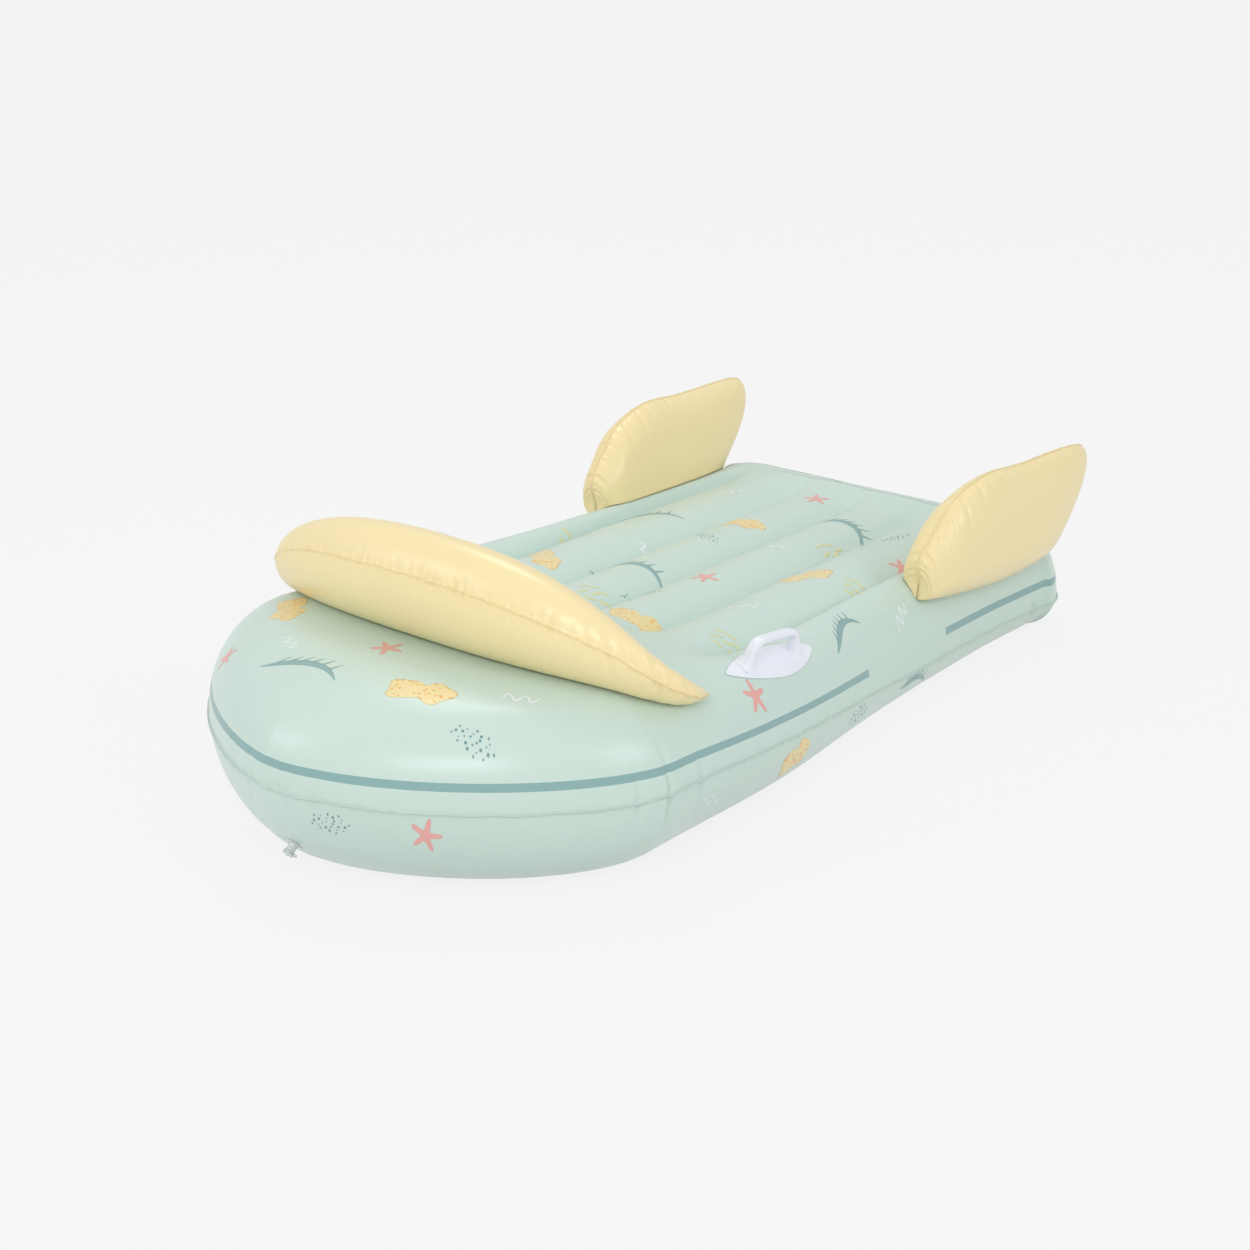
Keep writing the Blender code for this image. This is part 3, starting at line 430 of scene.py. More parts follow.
def noise_in(tree, place, scale, detail=2.0):
    """Noise over a place, in waves per metre."""
    node = tree.nodes.new("ShaderNodeTexNoise")
    for label, value in (("Scale", scale), ("Detail", detail), ("Vector", place)):
        feed(tree, node.inputs[label], value)
    return node.outputs["Fac"]


def mixed_colour(tree, factor, first, second):
    """The first colour at 0, the second at 1."""
    node = tree.nodes.new("ShaderNodeMix")
    node.data_type = "RGBA"
    for label, value in (("Factor", factor), ("A", first), ("B", second)):
        tree.links.new(value, node.inputs[label])
    return node.outputs["Result"]


# %% [markdown]
# The first group is the film. The second scatters spots for the speckled leaves of the print. Both put out only
# colours, roughness and heights, and leave the shader to the material.

# %% The film's shader groups
COLOURS = {"Colour": "Color", "Deep colour": "Color", "Place": "Vector"}
LOOK = {"Colour": "Color", "Roughness": "Float", "Height": "Float"}
FILM_ROUGHNESS, GRAIN_HEIGHT, SLACK_HEIGHT, WELD_BAND, GATHER_REACH = 0.245, 0.000005, 0.00045, 0.005, 0.012


def film_group():
    """Colour, roughness and height of welded film from a base colour, a place, and the seam's run and rise."""
    numbers = {"Run": "Float", "Rise": "Float", "Gather": "Float"}
    group, given, result = new_group("welded film", {**COLOURS, **numbers}, LOOK)
    maths, place, run, rise = maths_in(group), given["Place"], given["Run"], given["Rise"]
    clouds, fine = noise_in(group, place, 4.0, 3.0), noise_in(group, place, 90.0, 3.0)
    grain, soft = noise_in(group, place, 1400.0, 1.0), noise_in(group, place, 22.0)
    # Colour: slow clouds, and a slightly deeper tone in the weld band beside the seam
    band = maths("MAXIMUM", maths("SUBTRACT", 1.0, maths("DIVIDE", rise, WELD_BAND)), 0.0)
    tone = maths("MULTIPLY_ADD", clouds, 0.5, -0.1)
    tone = maths("ADD", tone, maths("MULTIPLY", fine, 0.12))
    tone = maths("ADD", tone, maths("MULTIPLY", band, 0.35))
    group.links.new(mixed_colour(group, tone, given["Colour"], given["Deep colour"]), result["Colour"])
    # Roughness: the same clouds, and a smoother weld
    rough = maths("ADD", maths("MULTIPLY_ADD", clouds, 0.10, FILM_ROUGHNESS), maths("MULTIPLY", fine, 0.07))
    group.links.new(maths("SUBTRACT", rough, maths("MULTIPLY", band, 0.08)), result["Roughness"])
    # Height in metres: roller grain, slack film, and gathers that die out away from the seam
    seam = group.nodes.new("ShaderNodeCombineXYZ")
    group.links.new(maths("MULTIPLY", run, 130.0), seam.inputs["X"])
    group.links.new(maths("MULTIPLY", rise, 9.0), seam.inputs["Y"])
    fade = maths("POWER", math.e, maths("DIVIDE", rise, -GATHER_REACH))
    waves = noise_in(group, seam.outputs["Vector"], 1.0)
    gathers = maths("MULTIPLY", maths("MULTIPLY", waves, fade), given["Gather"])
    height = maths("MULTIPLY_ADD", soft, SLACK_HEIGHT, maths("MULTIPLY", grain, GRAIN_HEIGHT))
    group.links.new(maths("ADD", height, gathers), result["Height"])
    return group


def speckle_group():
    """Colour scattered with small round spots, one to a cell and not all of one size."""
    sockets = {"Colour": "Color", "Spot": "Color", "Place": "Vector", "Scale": "Float"}
    group, given, result = new_group("speckled print", sockets, {"Colour": "Color"})
    maths, cells = maths_in(group), group.nodes.new("ShaderNodeTexVoronoi")
    for label, name in (("Place", "Vector"), ("Scale", "Scale")):
        group.links.new(given[label], cells.inputs[name])
    radius = maths("MULTIPLY", noise_in(group, given["Place"], 60.0), 0.62)
    edge = maths("MULTIPLY", maths("SUBTRACT", radius, cells.outputs["Distance"]), 14.0)
    mask = maths("MINIMUM", maths("MAXIMUM", edge, 0.0), 1.0)
    group.links.new(mixed_colour(group, mask, given["Colour"], given["Spot"]), result["Colour"])
    return group


FILM_GROUP = film_group()
print("film group:", len(FILM_GROUP.nodes), "nodes")

# %% [markdown]
# Each film gets its own material round that group. The shader stays in the material, and values that are the same
# all over the surface are set on its own sockets. A thin clear coat gives the soft second highlight of vinyl.

# %% Film materials
def vinyl_material(name, group, colour, deep, values, finish):
    """Group and shader side by side: values go to the group's sockets, finish to the shader's own."""
    material = bpy.data.materials.new(name)
    material.use_nodes = True
    material.diffuse_color = (*colour, 1)
    nodes, links = material.node_tree.nodes, material.node_tree.links
    shader, look, bump = nodes["Principled BSDF"], nodes.new("ShaderNodeGroup"), nodes.new("ShaderNodeBump")
    look.node_tree = group
    bump.inputs["Distance"].default_value = 1.0
    for label, value in {"Colour": (*colour, 1), "Deep colour": (*deep, 1), **values}.items():
        look.inputs[label].default_value = value
    for label, value in finish.items():
        shader.inputs[label].default_value = value
    links.new(nodes.new("ShaderNodeTexCoord").outputs["Object"], look.inputs["Place"])
    links.new(look.outputs["Height"], bump.inputs["Height"])
    links.new(look.outputs["Colour"], shader.inputs["Base Color"])
    links.new(look.outputs["Roughness"], shader.inputs["Roughness"])
    links.new(bump.outputs["Normal"], shader.inputs["Normal"])
    return material, look


def film_material(name, colour, deep, gather=0.0011):
    """Film reads the seam's run and rise from the mesh as well."""
    finish = {"Coat Weight": 0.16, "Coat Roughness": 0.22}
    material, look = vinyl_material(name, FILM_GROUP, colour, deep, {"Gather": gather}, finish)
    for label, into in (("seam_run", "Run"), ("seam_rise", "Rise")):
        attribute = material.node_tree.nodes.new("ShaderNodeAttribute")
        attribute.attribute_name = label
        material.node_tree.links.new(attribute.outputs["Fac"], look.inputs[into])
    return material


MINT = film_material("mint film", (0.580, 0.718, 0.650), (0.525, 0.665, 0.600))
STRIPE = film_material("teal print", (0.252, 0.425, 0.420), (0.215, 0.380, 0.380))
YELLOW = film_material("yellow film", (0.900, 0.765, 0.430), (0.865, 0.690, 0.320), gather=0.0014)
WEB_FILM = film_material("plain web film", (0.640, 0.760, 0.700), (0.560, 0.690, 0.630))
print("film materials:", [m.name for m in (MINT, STRIPE, YELLOW, WEB_FILM)])

# %% [markdown]
# ## The hull's two skins
# Each skin is one mesh. Rows cross the inner panel from rim to rim, with columns on the channel lines so that the
# valleys stay crisp. Rings then run round the whole outline, down the rim to the seam and out to its narrow
# margin. The printed stripe lies between two of those rings, so its edges are clean, and it has its own material.

# %% Rows and columns
FLAT = math.acos((1 - NOSE_FLAT_SHARE) ** (NOSE_POWER / 2))
NOSE_ROWS, SIDE_ROWS, CORNER_ROWS = 104, 172, 16
COLUMN_BREAKS, CHANNEL_ROOM = (0.36, 0.80), 0.02
STRIPE_MIDDLE, STRIPE_HALF = 0.30, 0.049
STRIPE_GAP = (0.806, 1.040)
PANEL_RISE, INSIDE_SEAM = 0.25, 0.95 * FILM


def side_stations():
    """Kind and value of each row from behind the nose tip to the tail corner."""
    values = [np.linspace(FLAT, math.pi / 2, NOSE_ROWS),
              np.linspace(NOSE_LENGTH, CORNER_Y, SIDE_ROWS)[1:],
              np.linspace(0, math.pi / 2, CORNER_ROWS)[1:]]
    kinds = [np.full(len(v), k) for k, v in zip((NOSE, SIDE, CORNER), values)]
    return np.concatenate(kinds), np.concatenate(values)


def row_columns(half, columns):
    """Signed column places of each row; breaks lie on the channel lines where the row is wide enough."""
    share = np.linspace(-1, 1, columns)
    scale = np.minimum(1, half / (OUTER_CHANNEL + CHANNEL_ROOM))[:, None]
    size = np.abs(share)[None, :]
    first, second = COLUMN_BREAKS
    inner = size / first * INNER_CHANNEL * scale
    between = (size - first) / (second - first) * (OUTER_CHANNEL - INNER_CHANNEL)
    middle = (INNER_CHANNEL + between) * scale
    outer = OUTER_CHANNEL * scale + (size - second) / (1 - second) * (half[:, None] - OUTER_CHANNEL * scale)
    return np.sign(share) * np.where(size < first, inner, np.where(size < second, middle, outer))


# %% [markdown]
# A skin is put together from its inner panel, the loop of points round the panel's border, and the rings that
# continue that loop down to the seam. At the nose the tubes give way to one smooth dome.

# %% One skin
def skin_panel(upper, columns):
    """The inner panel as rows by columns, with the kind and value of each row."""
    kind, value = side_stations()
    _, _, at = outline(kind, value, 0)
    half, y, _ = outline(kind, value, rim_width(at))
    x = row_columns(half, columns)
    y = np.repeat(y[:, None], columns, 1)
    z = deck_height(x, y) if upper else base_height(x, y)
    z[:, [0, -1]] = (crest_height(at) if upper else 0 * at)[:, None]
    z[0] = z[0, 0]
    if upper:
        depth = inset(x, y)
        z = domed(z, dome_height(depth, seam_station(depth, y), y), y)
    return np.stack([x, y, z], -1), kind, value


def skin_loop(panel, kind, value):
    """The panel's border once round: point numbers, kind, value and side of each, and its run from the nose."""
    rows, columns = panel.shape[:2]
    x = panel[..., 0]
    index = np.arange(rows * columns).reshape(rows, columns)
    loop = np.concatenate([index[0], index[1:, -1], index[-1, -2:0:-1], index[:0:-1, 0]])
    tip = np.arcsin(np.clip(np.abs(x[0]) / (HULL_HALF_WIDTH - rim_width(0.0)), 0, 1) ** (NOSE_POWER / 2))
    tail = x[-1, -2:0:-1] / x[-1, -1]
    loop_kind = np.concatenate([0 * tip, kind[1:], 0 * tail + TAIL, kind[:0:-1]])
    loop_value = np.concatenate([tip, value[1:], tail, value[:0:-1]])
    side = np.concatenate([np.sign(x[0]), 1 + 0 * kind[1:], 1 + 0 * tail, -1 + 0 * kind[1:]])
    edge_x, edge_y, _ = outline(loop_kind, loop_value, 0)
    edge_x = side * edge_x
    step = np.hypot(np.diff(edge_x, append=edge_x[0]), np.diff(edge_y, append=edge_y[0]))
    run = np.concatenate([[0], np.cumsum(step)[:-1]])
    run = run - run[columns // 2]
    return loop, loop_kind, loop_value, side, np.where(run > step.sum() / 2, run - step.sum(), run)


def hull_skin(name, upper, columns, turns, *materials):
    """Panel plus rings at the given rim angles, 90° at the panel, 0° at the seam, None at the weld margin."""
    panel, kind, value = skin_panel(upper, columns)
    loop, kind, value, side, run = skin_loop(panel, kind, value)
    _, _, at = outline(kind, value, 0)
    seam = seam_height(at) + (INSIDE_SEAM if upper else -INSIDE_SEAM)
    far = crest_height(at) if upper else 0 * at
    rings, rises = [], []
    for turn in turns:
        angle = turn or 0.0
        inward = -SEAM_MARGIN + 0 * at if turn is None else rim_width(at) * (1 - math.cos(angle))
        x, y, _ = outline(kind, value, inward)
        z = seam + (far - seam) * math.sin(angle)
        if upper:
            z = domed(z, dome_height(np.maximum(inward, 0), at, y) + seam - seam_height(at), y)
        rings.append(np.stack([side * x, y, z], -1))
        rises.append(np.abs(far - seam) * angle * 1.05)
    flat = panel.reshape(-1, 3)
    ring_index = len(flat) + np.arange(len(turns) * len(loop)).reshape(-1, len(loop))
    ring_index = np.concatenate([loop[None], ring_index])
    inner, outer = ring_index[:-1], ring_index[1:]
    ring_faces = np.stack([inner, np.roll(inner, -1, 1), np.roll(outer, -1, 1), outer], -1)
    panel_faces = grid_quads(*panel.shape[:2])[:, ::-1]
    faces = np.concatenate([panel_faces, ring_faces.reshape(-1, 4)])
    all_run = np.concatenate([flat[:, 0], np.tile(run, len(turns))])
    all_rise = np.concatenate([np.full(len(flat), PANEL_RISE), *rises])
    all_run[loop], all_rise[loop] = run, np.hypot(rim_width(at), far - seam) * 1.1
    obj = film_mesh(name, np.concatenate([flat, *rings]), faces[:, ::-1] if upper else faces, *materials,
                    run=all_run, rise=all_rise)
    if upper:
        edges = np.array([math.pi / 2] + [t or 0.0 for t in turns])
        band = (edges[:-1] + edges[1:]) / 2
        striped = (np.abs(band - STRIPE_MIDDLE) < STRIPE_HALF) & (np.diff(edges) < 0)
        bare = (kind == SIDE) & (value > STRIPE_GAP[0]) & (value < STRIPE_GAP[1])
        flags = np.zeros(len(faces), np.int32)
        flags[len(panel_faces):] = (striped[:, None] & ~bare[None, :]).ravel()
        obj.data.polygons.foreach_set("material_index", flags)
    return obj, all_run, all_rise


# %% [markdown]
# The seam puckers where the outline bends most, at the nose and its shoulders. The same creases cross the seam
# into both skins. The channels have their own small cross creases, and the whole film is slightly uneven.

# %% Creases of the hull
SEAM_CREASES = together(
    ([0.026, 0.067, 0.418, 0.465, 0.512, 0.545, 0.574],
     [0.0050, 0.0045, 0.0045, 0.0045, 0.0050, 0.0042, 0.0048],
     [0.060, 0.07, 0.050, 0.075, 0.110, 0.050, 0.085],
     [0.0026, 0.0024, 0.0022, 0.0036, 0.0062, 0.0024, 0.0044]),
    ([-0.045, -0.098, -0.402, -0.447, -0.489, -0.53, -0.585],
     [0.0050, 0.0045, 0.0045, 0.0045, 0.0050, 0.0042, 0.0048],
     [0.060, 0.05, 0.050, 0.075, 0.100, 0.050, 0.075],
     [0.0026, 0.0024, 0.0022, 0.0036, 0.0056, 0.0024, 0.0038]),
    scattered(52, -0.62, 0.62, 0.0034, 0.022, 0.0014),
    scattered(34, 0.62, 1.46, 0.0035, 0.020, 0.0011), scattered(34, -1.46, -0.62, 0.0035, 0.020, 0.0011),
    scattered(16, 1.46, 1.62, 0.0045, 0.040, 0.0024), scattered(16, -1.62, -1.46, 0.0045, 0.040, 0.0024))
WEB_LINES = (0.0, INNER_CHANNEL, -INNER_CHANNEL, OUTER_CHANNEL, -OUTER_CHANNEL)
CHANNEL_CREASES = [scattered(26, 0.56, 1.33, 0.0075, 0.030, 0.0011) for _ in WEB_LINES]
WELD_REACH, WAVE_REACH, HULL_WAVE, YELLOW_WAVE, SLACK = 0.004, 0.007, 0.0007, 0.0006, 0.00022
print("creases along the hull's seam:", len(SEAM_CREASES[0]))


def at_weld(rise):
    """0 at the weld and 1 a few millimetres away, so that two films never part at their seam."""
    return smooth(rise / WELD_REACH)


def weld_wave(run, rise, depth):
    """The welded edge wanders in two bent sine waves that die out away from the weld, alike in both films."""
    wave = np.sin(run * 71 + 2 * np.sin(run * 23)) + 0.6 * np.sin(run * 190 + 3 * np.sin(run * 41))
    return depth * wave * np.exp(-rise / WAVE_REACH)


def unevenness(points):
    """Slow swelling of the film: a few crossing waves, under half a millimetre high."""
    x, y = points[:, 0], points[:, 1]
    long_waves = np.sin(19 * x + 3 * np.sin(7 * y)) * np.sin(13 * y + 2)
    return SLACK * (long_waves + 0.6 * np.sin(31 * y + 11 * x) * np.sin(23 * x + 1))


def skin_relief(obj, run, rise, upper):
    """Seam creases below the crest, cross creases along each channel, and slow unevenness."""
    points = coordinates(obj)
    x, y = points[:, 0], points[:, 1] - ORIGIN_Y
    in_rim = rise < PANEL_RISE
    relief = np.where(in_rim, puckers(run, rise, *SEAM_CREASES) * at_weld(rise), 0) + unevenness(points)
    if upper:
        share = channel_share(y)
        for line, creases in zip(WEB_LINES, CHANNEL_CREASES):
            relief += np.where(in_rim, 0, share * puckers(y, np.abs(x - line), *creases))
    swell(obj, relief * (rise > 0))
    points = coordinates(obj)
    points[:, 2] += weld_wave(run, rise, HULL_WAVE)
    set_coordinates(obj, points)


def joint_place(name):
    """Centre and outward direction of a valve, from the joint that pulls its plug."""
    joint = next(j for j in frame["joints"] if j["name"] == name)
    axis = np.array(joint["axis"], float)
    return np.array(joint["pos_m"], float), axis / np.linalg.norm(axis)


# %% [markdown]
# The rings lie closer together towards the seam, where the creases are finest. The top film has edges on both
# sides of its stripe. The underside is laid flat where the valve is welded to it.

# %% Build both skins
NEAR_SEAM = (11, 8, 5.5, 3.5, 1.8, 0.8, 0)
STRIPE_EDGES = (STRIPE_MIDDLE + STRIPE_HALF, STRIPE_MIDDLE, STRIPE_MIDDLE - STRIPE_HALF)
TOP_TURNS = (*np.radians((82, 74, 66, 58, 51, 44, 38, 32, 27, 23)), *STRIPE_EDGES, *np.radians(NEAR_SEAM), None)
BASE_TURNS = (*np.radians((82, 73, 64, 55, 47, 39, 32, 26, 20, 15) + NEAR_SEAM), None)
top, run, rise = hull_skin("top_film", True, 101, TOP_TURNS, MINT, STRIPE)
skin_relief(top, run, rise, True)
belongs(film_wall(top), "hull", "film", "top_skin")
base, run, rise = hull_skin("bottom_film", False, 61, BASE_TURNS, MINT)
skin_relief(base, run, rise, False)
seat_flat(base, *joint_place("nose_plug_pull"))
belongs(film_wall(base), "hull", "film", "bottom_skin")

# %% [markdown]
# ## Webs
# Five upright sheets of film join the two skins under the channels. They stand between the skins with a hair of
# room at both welds, and they sag a little between the stations where air passes round them.

# %% Web sheets
WEB_NAMES = ("web_centre", "web_right_inner", "web_left_inner", "web_right_outer", "web_left_outer")
WEB_START, WEB_END, WEB_LOW, WEB_HIGH, WEB_SAG, WEB_SEAM = 0.6100, 1.2500, 0.0016, 0.0022, 0.0012, 0.04
web_rows, web_rise = np.linspace(WEB_START, WEB_END, 150), np.linspace(0, 1, 25)[:, None]
for node, line in zip(WEB_NAMES, WEB_LINES):
    low = base_height(line + 0 * web_rows, web_rows) + WEB_LOW
    high = deck_height(line + 0 * web_rows, web_rows) - WEB_HIGH
    wave = WEB_SAG * np.sin(web_rows * 62 + line * 40) * np.sin(math.pi * web_rise)
    z = low * (1 - web_rise) + high * web_rise
    points = np.stack([line + wave, web_rows + 0 * z, z], -1).reshape(-1, 3)
    sheet = film_mesh(node + "_film", points, grid_quads(*z.shape), WEB_FILM, run=points[:, 1], rise=WEB_SEAM)
    belongs(film_wall(sheet), "hull", "web_film", node)

# %% [markdown]
# ## The headrest
# The headrest is a tapering tube on a curved line. Its section is an oval that leans with the deck, narrower in
# front than behind, and two seams run along it, one high at the front and one low at the back. The film gathers
# along the front seam, in long radial folds round the ends, where the tube tapers fastest.

# %% Headrest surface
REST_FORWARD, REST_SWEEP, REST_HALF_SPAN, REST_POWER = 0.277, 0.158, HULL_HALF_WIDTH * 0.8895, 3.05
REST_RADIUS, REST_FRONT_SHARE, REST_REAR_SHARE, REST_FULLNESS, REST_TAPER = 0.0700, 0.685, 0.885, 2.43, 1.06
REST_TIP_RADIUS, REST_FLAT, REST_SEAM_ANGLE = 0.0025, 0.004, math.radians(22)
REST_LIFT, REST_TIP_LIFT, REST_TIPS_FROM, REST_CLEARANCE = 0.0042, 0.0010, 0.80, 0.0009
EVEN_SHARE, FOLDS_FROM = 0.65, 0.03


def rest_line(shares):
    """Centre line of the headrest at shares of its length, with radius, forward direction and deck tilt."""
    theta = np.linspace(-math.pi / 2, math.pi / 2, 4001)
    power = 2 / REST_POWER
    line_x = REST_HALF_SPAN * np.sign(theta) * np.abs(np.sin(theta)) ** power
    line_y = REST_FORWARD + REST_SWEEP * (1 - np.clip(np.cos(theta), 0, 1) ** power)
    run = np.concatenate([[0], np.cumsum(np.hypot(np.diff(line_x), np.diff(line_y)))])
    at = (shares + 1) / 2 * run[-1]
    x, y = np.interp(at, run, line_x), np.interp(at, run, line_y)
    dx, dy = np.gradient(x), np.gradient(y)
    ahead = np.stack([dy, -dx], -1) / np.hypot(dx, dy)[:, None]
    full = np.clip(1 - np.abs(shares) ** REST_FULLNESS, 0, 1) ** REST_TAPER
    radius = REST_TIP_RADIUS + (REST_RADIUS - REST_TIP_RADIUS) * full
    reach = REST_RADIUS / 4
    rise = (top_height(x + reach * ahead[:, 0], y + reach * ahead[:, 1])
            - top_height(x - reach * ahead[:, 0], y - reach * ahead[:, 1]))
    return x, y, radius, ahead, np.arctan2(rise, 2 * reach), at - run[-1] / 2


def rest_panel(name, first, last, around, steps=470):
    """One film panel between two section angles, with a weld lip beyond each edge."""
    ends = np.sin(np.linspace(-math.pi / 2, math.pi / 2, steps))
    shares = (1 - EVEN_SHARE) * ends + EVEN_SHARE * np.linspace(-1, 1, steps)
    x, y, radius, ahead, tilt, run = (v[:, None] for v in rest_line(shares))
    tips = smooth((np.abs(shares) - REST_TIPS_FROM) / (1 - REST_TIPS_FROM))[:, None]
    base = top_height(x, y) + REST_LIFT + REST_TIP_LIFT * tips
    t = np.concatenate([[0], (1 - np.cos(np.linspace(0, math.pi, around))) / 2, [1]])[None, :]
    lip = np.zeros(t.shape)
    lip[0, [0, -1]] = 1
    slack = INSIDE_SEAM / radius
    angle = first + slack + (last - first - 2 * slack) * t
    out = radius + lip * np.minimum(YELLOW_MARGIN, radius / 6)
    across = out * np.where(np.cos(angle) > 0, REST_FRONT_SHARE, REST_REAR_SHARE) * np.cos(angle)
    up = radius - REST_FLAT * radius / REST_RADIUS + out * np.sin(angle)
    level = across * np.cos(tilt) - up * np.sin(tilt)
    px, py = x + level * ahead[..., 0], y + level * ahead[..., 1]
    pz = np.maximum(base + across * np.sin(tilt) + up * np.cos(tilt), top_height(px, py) + REST_CLEARANCE)
    points = np.stack([px, py, pz], -1).reshape(-1, 3)
    to_front = radius * np.abs(angle - REST_SEAM_ANGLE)
    to_rear = radius * (math.pi - np.abs(angle - REST_SEAM_ANGLE))
    run, rise = run + 0 * to_front, np.minimum(to_front, to_rear)
    obj = film_mesh(name, points, grid_quads(steps, around + 2)[:, ::-1], YELLOW, run=run, rise=rise)
    relief = puckers(run, to_front, *FRONT_CREASES) * at_weld(to_front)
    relief += puckers(run, to_rear, *REAR_CREASES) * at_weld(to_rear)
    relief += 0.8 * unevenness(points).reshape(run.shape) * at_weld(rise)
    thick = np.clip(radius / FOLDS_FROM, 0, 1)
    swell(obj, relief * (1 - lip) * thick)
    points = coordinates(obj)
    points[:, 2] += (weld_wave(run, rise, YELLOW_WAVE) * thick).ravel()
    points[:, 2] = np.maximum(points[:, 2], top_height(points[:, 0], points[:, 1] - ORIGIN_Y) + REST_CLEARANCE)
    set_coordinates(obj, points)
    return obj


# %% [markdown]
# The large folds round both ends are placed one by one, and the finer gathers between them are scattered. The
# upper panel carries the second valve, so it has a flat seat at its rear.

# %% Build the headrest
FRONT_CREASES = together(
    ([-0.421, -0.409, -0.391, -0.372, -0.360, -0.338, -0.318, -0.300, -0.272, -0.246], 0.0052,
     [0.05, 0.065, 0.06, 0.085, 0.065, 0.090, 0.060, 0.080, 0.050, 0.060],
     [0.0022, 0.0032, 0.0024, 0.0040, 0.0026, 0.0036, 0.0022, 0.0030, 0.0018, 0.0022]),
    ([0.262, 0.281, 0.305, 0.327, 0.341, 0.362, 0.384], 0.0054, [0.04, 0.06, 0.05, 0.075, 0.055, 0.06, 0.04],
     [0.0018, 0.0030, 0.0020, 0.0040, 0.0024, 0.0028, 0.0020]),
    scattered(44, -0.25, 0.26, 0.0032, 0.020, 0.0015), scattered(7, 0.02, 0.12, 0.0034, 0.026, 0.0021),
    scattered(6, 0.17, 0.24, 0.0034, 0.026, 0.0021))
REAR_CREASES = together(
    scattered(48, -0.40, 0.40, 0.0040, 0.028, 0.0018),
    ([-0.39, -0.36, -0.33, 0.31, 0.345, 0.375], 0.0058, 0.070, [0.0024, 0.0034, 0.0022, 0.0024, 0.0034, 0.0022]))
upper = rest_panel("headrest_upper_film", REST_SEAM_ANGLE, REST_SEAM_ANGLE + math.pi, 74)
seat_flat(upper, *joint_place("headrest_plug_pull"))
belongs(film_wall(upper), "hull", "yellow_film", "headrest_upper_panel")
lower = rest_panel("headrest_lower_film", REST_SEAM_ANGLE - math.pi, REST_SEAM_ANGLE, 46)
belongs(film_wall(lower), "hull", "yellow_film", "headrest_lower_panel")

# %% [markdown]
# ## The fins
# Each fin is a lens of film on an open foot, closed by a weld that climbs its blunt front, runs along the top and
# drops down the cut-away rear. The weld pulls short horizontal creases into both faces at the front,
# and slanted ones behind the upper corner.

# %% Fin surface
FIN_LENGTH, FIN_HEIGHT, FIN_THICKNESS = 0.447, 0.152, 0.084
FIN_FRONT, FIN_SPACING, FIN_LIFT = HULL_LENGTH - 0.457, 2 * HULL_HALF_WIDTH * 0.8195, 0.0053
FIN_FOOT_SHARES, FIN_WAIST_SHARE = {"outer": 0.04, "inner": 1.0}, 0.28
FIN_TOE_SHARE, FIN_SPLAY, FIN_REAR_SPLAY = 0.038, 0.011, 0.012
FIN_SHUT, FIN_BASE_FADE, FIN_CLEARANCE = 0.35, 0.12, 0.0008
# The welded edge: share of the length, share of the height, and the share of the foot below that point
FIN_EDGE_SHARES = ((0.005, 0.11, 0.0), (-0.010, 0.372, 0.015), (0.078, 0.657, 0.045), (0.161, 0.861, 0.11),
                   (0.342, 0.996, 0.28), (0.576, 0.953, 0.48), (0.946, 0.903, 0.68), (0.996, 0.682, 0.725),
                   (0.911, 0.488, 0.75), (0.864, 0.236, 0.77), (0.815, 0.04, 0.79))
FIN_CREASES = together(
    ([0.014, 0.027, 0.036, 0.053, 0.064, 0.083, 0.092, 0.112], 0.0036,
     [0.03, 0.065, 0.035, 0.075, 0.03, 0.060, 0.035, 0.055],
     [0.0014, 0.0032, 0.0014, 0.0036, 0.0012, 0.0028, 0.0012, 0.0022]),
    ([0.134, 0.158, 0.171, 0.199, 0.226, 0.259], 0.0050, [0.05, 0.080, 0.05, 0.075, 0.05, 0.045],
     [0.0018, 0.0032, 0.0016, 0.0028, 0.0016, 0.0014]),
    scattered(16, 0.28, 0.52, 0.0035, 0.022, 0.0014), scattered(10, 0.54, 0.66, 0.0042, 0.032, 0.0022))


